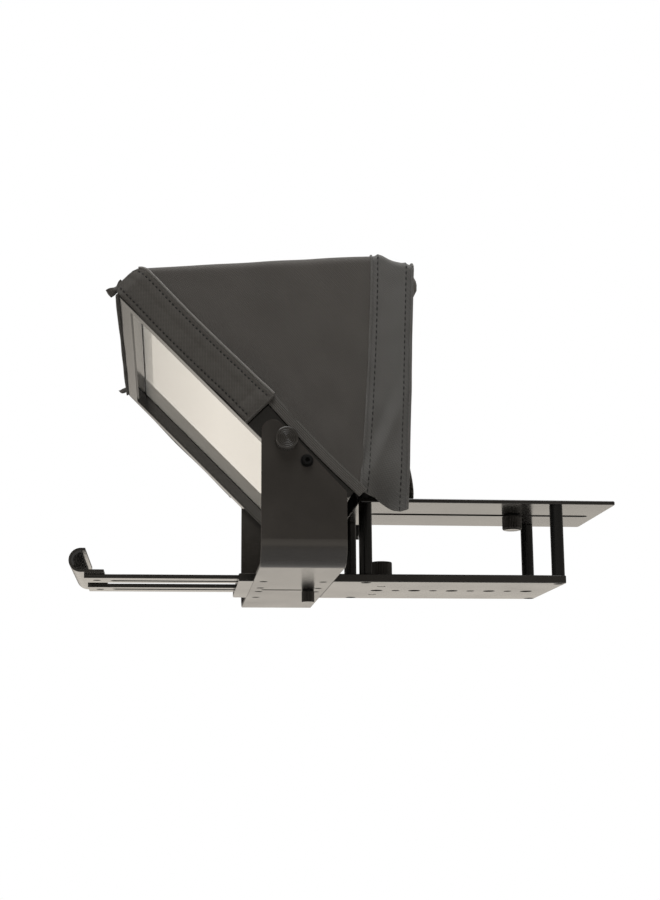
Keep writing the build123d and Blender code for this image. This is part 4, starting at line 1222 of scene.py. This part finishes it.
@dataclass
class Fittings:
    """Knobs, studs, the lip's rubber, and the stop's pad."""

    knurl_depth: float = 0.55 * MM
    thread_depth: float = 0.45 * MM
    parts: list = field(default_factory=list)

    def build(self) -> None:
        """Make every fitting."""
        self.knob("camera_screw_knob", "camera_screw", (0, 0, -1), 36, bevel=1.6 * MM, dish=0.3 * MM)
        self.knob("rear_stop_knob", "stop_screw", (0, 0, -1), 26, bevel=0.5 * MM, dish=0.2 * MM)
        for side in ("left", "right"):
            self.knob(f"tray_knob_{side}", f"tray_clamp_{side}", (0, 0, 1), 40, bevel=0.8 * MM, dish=0.4 * MM)
            sign = -1 if side == "left" else 1
            self.knob(f"tilt_knob_{side}", f"tilt_lock_{side}", (0, sign, 0), 0, bevel=0.8 * MM, dish=0.3 * MM, rings=5)
            self.thread(f"tray_knob_stud_{side}", f"tray_clamp_{side}", 1.27 * MM)
        self.thread("rear_stop_stud", "stop_screw", 0.8 * MM)
        self.lip_rubber()
        self.stop_pad()
        log.info("fittings: %d pieces", len(self.parts))

    def knob(
        self, node: str, body: str, axis: tuple, flutes: int, bevel: float, dish: float, rings: int = 0
    ) -> None:
        """Replace a CAD knob by a finely turned one of the same size.

        Args:
            node: The CAD knob.
            body: The body it turns with.
            axis: Direction from foot to face.
            flutes: Number of grooves round the side, or 0 for a smooth side.
            bevel: Width of the rim's bevel.
            dish: Depth of the face's hollow.
            rings: Number of turned rings in the face.
        """
        low, high = node_box(node)
        direction = np.array(axis, float)
        main = int(np.argmax(np.abs(direction)))
        centre = (low + high) / 2
        height = (high - low)[main]
        radius = (high - low)[(main + 1) % 3] / 2
        foot = centre - direction * height / 2
        profile = knob_profile(radius, height, bevel, dish, rings)

        def flute(a: np.ndarray, r: np.ndarray, h: np.ndarray) -> np.ndarray:
            """Grooves: minus the depth times a sharpened cosine, only on the side wall."""
            wall = np.clip((r - (radius - bevel)) / bevel, 0, 1) * (h > 0.05 * MM)
            return -self.knurl_depth * (0.5 - 0.5 * np.cos(flutes * a)) ** 2 * wall

        piece = turned(f"{node}_turned", profile, foot, direction, 10 * flutes or 120, flute if flutes else None)
        dress(piece, TURNED)
        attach(piece, body)
        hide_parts(node)
        self.parts.append(piece)

    def thread(self, node: str, body: str, pitch: float) -> None:
        """Replace a CAD stud by a threaded one: radius falls by a triangle wave of the height
        over the pitch minus the angle over a full turn.

        Args:
            node: The CAD stud, upright.
            body: The body it turns with.
            pitch: Rise of the thread in one turn.
        """
        low, high = node_box(node)
        centre = (low + high) / 2
        radius = (high - low)[0] / 2
        height = (high - low)[2]
        rows = int(height / pitch * 7)
        h = np.linspace(0, height, rows)
        taper = np.clip(np.minimum(h, height - h) / (0.7 * MM), 0, 1)
        side = np.stack([radius * (0.82 + 0.18 * taper), h], axis=-1)
        profile = np.concatenate([[[0, 0]], side, [[0, height]]])

        def cut(a: np.ndarray, r: np.ndarray, z: np.ndarray) -> np.ndarray:
            """Triangle wave of height over pitch minus angle over a turn."""
            phase = (z / pitch - a / TAU) % 1.0
            return -self.thread_depth * (1 - np.abs(2 * phase - 1)) * (r > 0.5 * radius)

        piece = turned(f"{node}_threaded", profile, np.array([centre[0], centre[1], low[2]]), np.array([0, 0, 1.0]), 32, cut)
        dress(piece, STEEL)
        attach(piece, body)
        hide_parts(node)
        self.parts.append(piece)

    def lip_rubber(self) -> None:
        """Ribbed rubber inside the lip: an arc band whose inner radius carries fine long ribs."""
        low, high = node_box("tray_lip_liner")
        outer = (high[2] - low[2]) / (1.0 + math.sin(math.radians(35.0)))
        centre_x = low[0] + outer
        centre_z = high[2] - outer
        a = np.radians(np.linspace(90, 215, 90))
        across = np.linspace(low[1], high[1], 24)
        rib = 0.22 * MM * np.cos(np.linspace(0, TAU * 12, 90))
        inner = outer - 1.45 * MM + rib
        ring = np.concatenate([np.full(90, outer), inner[::-1]])
        turn = np.concatenate([a, a[::-1]])
        x = centre_x + ring * np.cos(turn)
        z = centre_z + ring * np.sin(turn)
        points = np.stack(
            np.broadcast_arrays(x[None, :], across[:, None], z[None, :]), axis=-1
        )
        piece = grid_object("tray_lip_rubber", points, None, wrap_v=True, caps=True)
        weld(piece)
        dress(piece, RUBBER)
        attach(piece, "tray")
        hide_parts("tray_lip_liner")
        self.parts.append(piece)

    def stop_pad(self) -> None:
        """Foam pad of the rear stop: a closed pillow whose outline is a superellipse.

        Half width, half height and half thickness are multiplied by signed powers of the cosine
        and sine of two angles, which squares the corners but keeps them soft.
        """
        low, high = node_box("rear_stop_pad")
        centre, half = (low + high) / 2, (high - low) / 2
        u = np.linspace(-math.pi / 2, math.pi / 2, 40)[:, None]
        v = np.linspace(0, TAU, 120, endpoint=False)[None, :]
        x = half[0] * signed_power(np.sin(u), 0.35) + 0 * v
        y = half[1] * signed_power(np.cos(u), 0.12) * signed_power(np.cos(v), 0.14)
        z = half[2] * signed_power(np.cos(u), 0.12) * signed_power(np.sin(v), 0.28)
        points = centre + np.stack(np.broadcast_arrays(x, y, z), axis=-1)
        piece = grid_object("rear_stop_foam", points, None, wrap_v=True)
        weld(piece)
        dress(piece, FOAM)
        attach(piece, "stop")
        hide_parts("rear_stop_pad")
        self.parts.append(piece)


# ---------------------------------------------------------------- metal finishes

PLATE = CoatedMetal("plate_coat", colour=(0.012, 0.011, 0.010), rough=0.20, grain_depth=0.00001)
BRACKET = CoatedMetal("bracket_coat", colour=(0.022, 0.0195, 0.0175), rough=0.24, grain_depth=0.00001)
BARS = CoatedMetal("anodised_bars", colour=(0.006, 0.006, 0.0055), rough=0.1, gloss=0.8, patchy=0.01)
POSTS = CoatedMetal("turned_posts", colour=(0.005, 0.005, 0.005), rough=0.22, grain=(1, 1, 8.0), gloss=0.3)
SCREWS = CoatedMetal("black_oxide", colour=(0.006, 0.006, 0.006), rough=0.6, grain_scale=1800.0, gloss=0.06)
TURNED = CoatedMetal("turned_knobs", colour=(0.024, 0.022, 0.020), rough=0.2, grain_scale=1500.0)
TRAY = CoatedMetal("tray_metal", colour=(0.016, 0.015, 0.014), rough=0.14, grain=(0.08, 1, 1), patchy=0.02)
PLASTIC = CoatedMetal("retainer_plastic", colour=(0.008, 0.008, 0.008), rough=0.4, grain_scale=900.0)
STEEL = BrightSteel("plated_steel")
RUBBER = Rubber("lip_rubber")
FOAM = Rubber("stop_foam", colour=(0.022, 0.022, 0.022), rough=0.92, pore_scale=2600.0, pore_depth=0.00012)
GLASS = CoatedGlass("beam_splitter")
HOOKS = HookTape("hook_tape")

NODE_FINISH = {
    "base_plate": PLATE,
    "camera_plate": PLATE,
    "mount_bracket": BRACKET,
    "bracket_screws": SCREWS,
    "post_front_left": POSTS,
    "post_front_right": POSTS,
    "post_rear_left": POSTS,
    "post_rear_right": POSTS,
    "post_lower_screws": SCREWS,
    "post_upper_screws": SCREWS,
    "camera_screw_stud": STEEL,
    "camera_screw_washer": SCREWS,
    "tray_rail_left": TRAY,
    "tray_rail_right": TRAY,
    "tray_lip": TRAY,
    "lip_screws": SCREWS,
    "tray_washers": SCREWS,
    "rear_stop": TRAY,
    "rear_stop_washer": SCREWS,
    "corner_keys": STEEL,
    "corner_screws": SCREWS,
    "frame_top_bar": BARS,
    "frame_bottom_bar": BARS,
    "frame_left_bar": BARS,
    "frame_right_bar": BARS,
    "glass_gasket": RUBBER,
    "beamsplitter_glass": GLASS,
    "glass_retainer": PLASTIC,
    "pivot_screw_left": SCREWS,
    "pivot_screw_right": SCREWS,
    "tilt_knob_stud_left": STEEL,
    "tilt_knob_stud_right": STEEL,
    "pivot_washers": SCREWS,
    "pivot_spacers": SCREWS,
    "hook_strips": HOOKS,
}


# ---------------------------------------------------------------- camera, floor and light


@dataclass
class Studio:
    """Camera, pale floor and soft light."""

    location: tuple = (-0.19167, -1.18323, -0.13875)
    yaw: float = math.radians(6.054)
    pitch: float = math.radians(11.93)
    roll: float = math.radians(-0.384)
    lens: float = 60.7
    floor_z: float = -0.85
    floor_size: float = 2.2
    sky: tuple = (0.98, 0.22)

    def build(self) -> None:
        """Make the camera, the floor, the lamps and the world."""
        self.camera()
        self.floor()
        self.world()
        self.lamp("top_light", (-0.1, -0.1, 2.2), 2.4, 62.0, (-0.05, 0.0, 0.0))
        self.lamp("side_light", (-0.30, -0.95, 1.15), 0.7, 10.0, (-0.05, -0.1, 0.2))
        bpy.context.scene.view_settings.view_transform = "Standard"
        log.info("studio ready")

    def camera(self) -> None:
        """Camera whose axes come from its yaw, pitch and roll."""
        cy, sy = math.cos(self.yaw), math.sin(self.yaw)
        cp, sp = math.cos(self.pitch), math.sin(self.pitch)
        forward = Vector((sy * cp, cy * cp, sp))
        right = Vector((cy, -sy, 0.0))
        up = right.cross(forward)
        cr, sr = math.cos(self.roll), math.sin(self.roll)
        right, up = right * cr + up * sr, up * cr - right * sr
        data = bpy.data.cameras.new("camera")
        data.lens = self.lens
        data.sensor_width = 36.0
        data.clip_start, data.clip_end = 0.01, 100.0
        camera = bpy.data.objects.new("camera", data)
        bpy.context.scene.collection.objects.link(camera)
        camera.matrix_world = Matrix.Translation(self.location) @ Matrix(
            ((right.x, up.x, -forward.x), (right.y, up.y, -forward.y), (right.z, up.z, -forward.z))
        ).to_4x4()
        bpy.context.scene.camera = camera

    def floor(self) -> None:
        """Pale floor far below the object."""
        size = self.floor_size
        corners = [(-size, -size), (size, -size), (size, size), (-size, size)]
        mesh = bpy.data.meshes.new("floor")
        mesh.from_pydata([(x, y, self.floor_z) for x, y in corners], [], [(0, 1, 2, 3)])
        floor = bpy.data.objects.new("floor", mesh)
        bpy.context.scene.collection.objects.link(floor)
        sheet = Sheet("pale_floor")
        cloud = sheet.noise(sheet.coordinates(), 1.5, 3.0)
        sheet.colour(sheet.blend(cloud, (0.76, 0.755, 0.745), (0.80, 0.795, 0.785)))
        sheet.set(Roughness=0.85)
        floor.data.materials.append(sheet.material)

    def world(self) -> None:
        """A white cyclorama: bright at and below the horizon, dimmer above, plain white behind.

        The strength falls from the lower value to the upper one over a few degrees of the
        direction's height; the backdrop that the camera sees directly stays white.
        """
        world = bpy.data.worlds.new("studio_white")
        world.use_nodes = True
        tree = world.node_tree
        sky = tree.nodes["Background"]
        direction = tree.nodes.new("ShaderNodeTexCoord")
        parts = tree.nodes.new("ShaderNodeSeparateXYZ")
        tree.links.new(direction.outputs["Generated"], parts.inputs["Vector"])
        height = tree.nodes.new("ShaderNodeMapRange")
        for key, number in zip(("From Min", "From Max", "To Min", "To Max"), (-0.03, 0.08, *self.sky)):
            height.inputs[key].default_value = number
        tree.links.new(parts.outputs["Z"], height.inputs["Value"])
        sky.inputs["Color"].default_value = (1.0, 0.93, 0.83, 1.0)
        tree.links.new(height.outputs["Result"], sky.inputs["Strength"])
        plain = tree.nodes.new("ShaderNodeBackground")
        plain.inputs["Color"].default_value = (1.0, 1.0, 1.0, 1.0)
        seen = tree.nodes.new("ShaderNodeLightPath")
        mix = tree.nodes.new("ShaderNodeMixShader")
        tree.links.new(seen.outputs["Is Camera Ray"], mix.inputs[0])
        tree.links.new(sky.outputs["Background"], mix.inputs[1])
        tree.links.new(plain.outputs["Background"], mix.inputs[2])
        tree.links.new(mix.outputs["Shader"], tree.nodes["World Output"].inputs["Surface"])
        bpy.context.scene.world = world

    def lamp(self, name: str, place: tuple, size: float, power: float, target: tuple) -> None:
        """One square soft light aimed at a point."""
        data = bpy.data.lights.new(name, "AREA")
        data.size, data.energy = size, power
        lamp = bpy.data.objects.new(name, data)
        bpy.context.scene.collection.objects.link(lamp)
        aim = (Vector(target) - Vector(place)).to_track_quat("-Z", "Y")
        lamp.matrix_world = Matrix.Translation(place) @ aim.to_matrix().to_4x4()


def dress_nodes() -> None:
    """Give every carried-over CAD node its finish."""
    for name, finish in NODE_FINISH.items():
        dress_node(name, finish)
    log.info("dressed %d nodes", len(NODE_FINISH))


def write_sizes() -> None:
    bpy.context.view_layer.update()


def main() -> None:
    """Build the studio, the finishes, the hood and the fittings."""
    logging.basicConfig(level=logging.INFO, format="%(name)s: %(message)s")
    Studio().build()
    dress_nodes()
    Hood(TiltedFrame(joint_place("frame_tilt"))).build()
    Fittings().build()
    write_sizes()


if __name__ == "__main__":
    main()
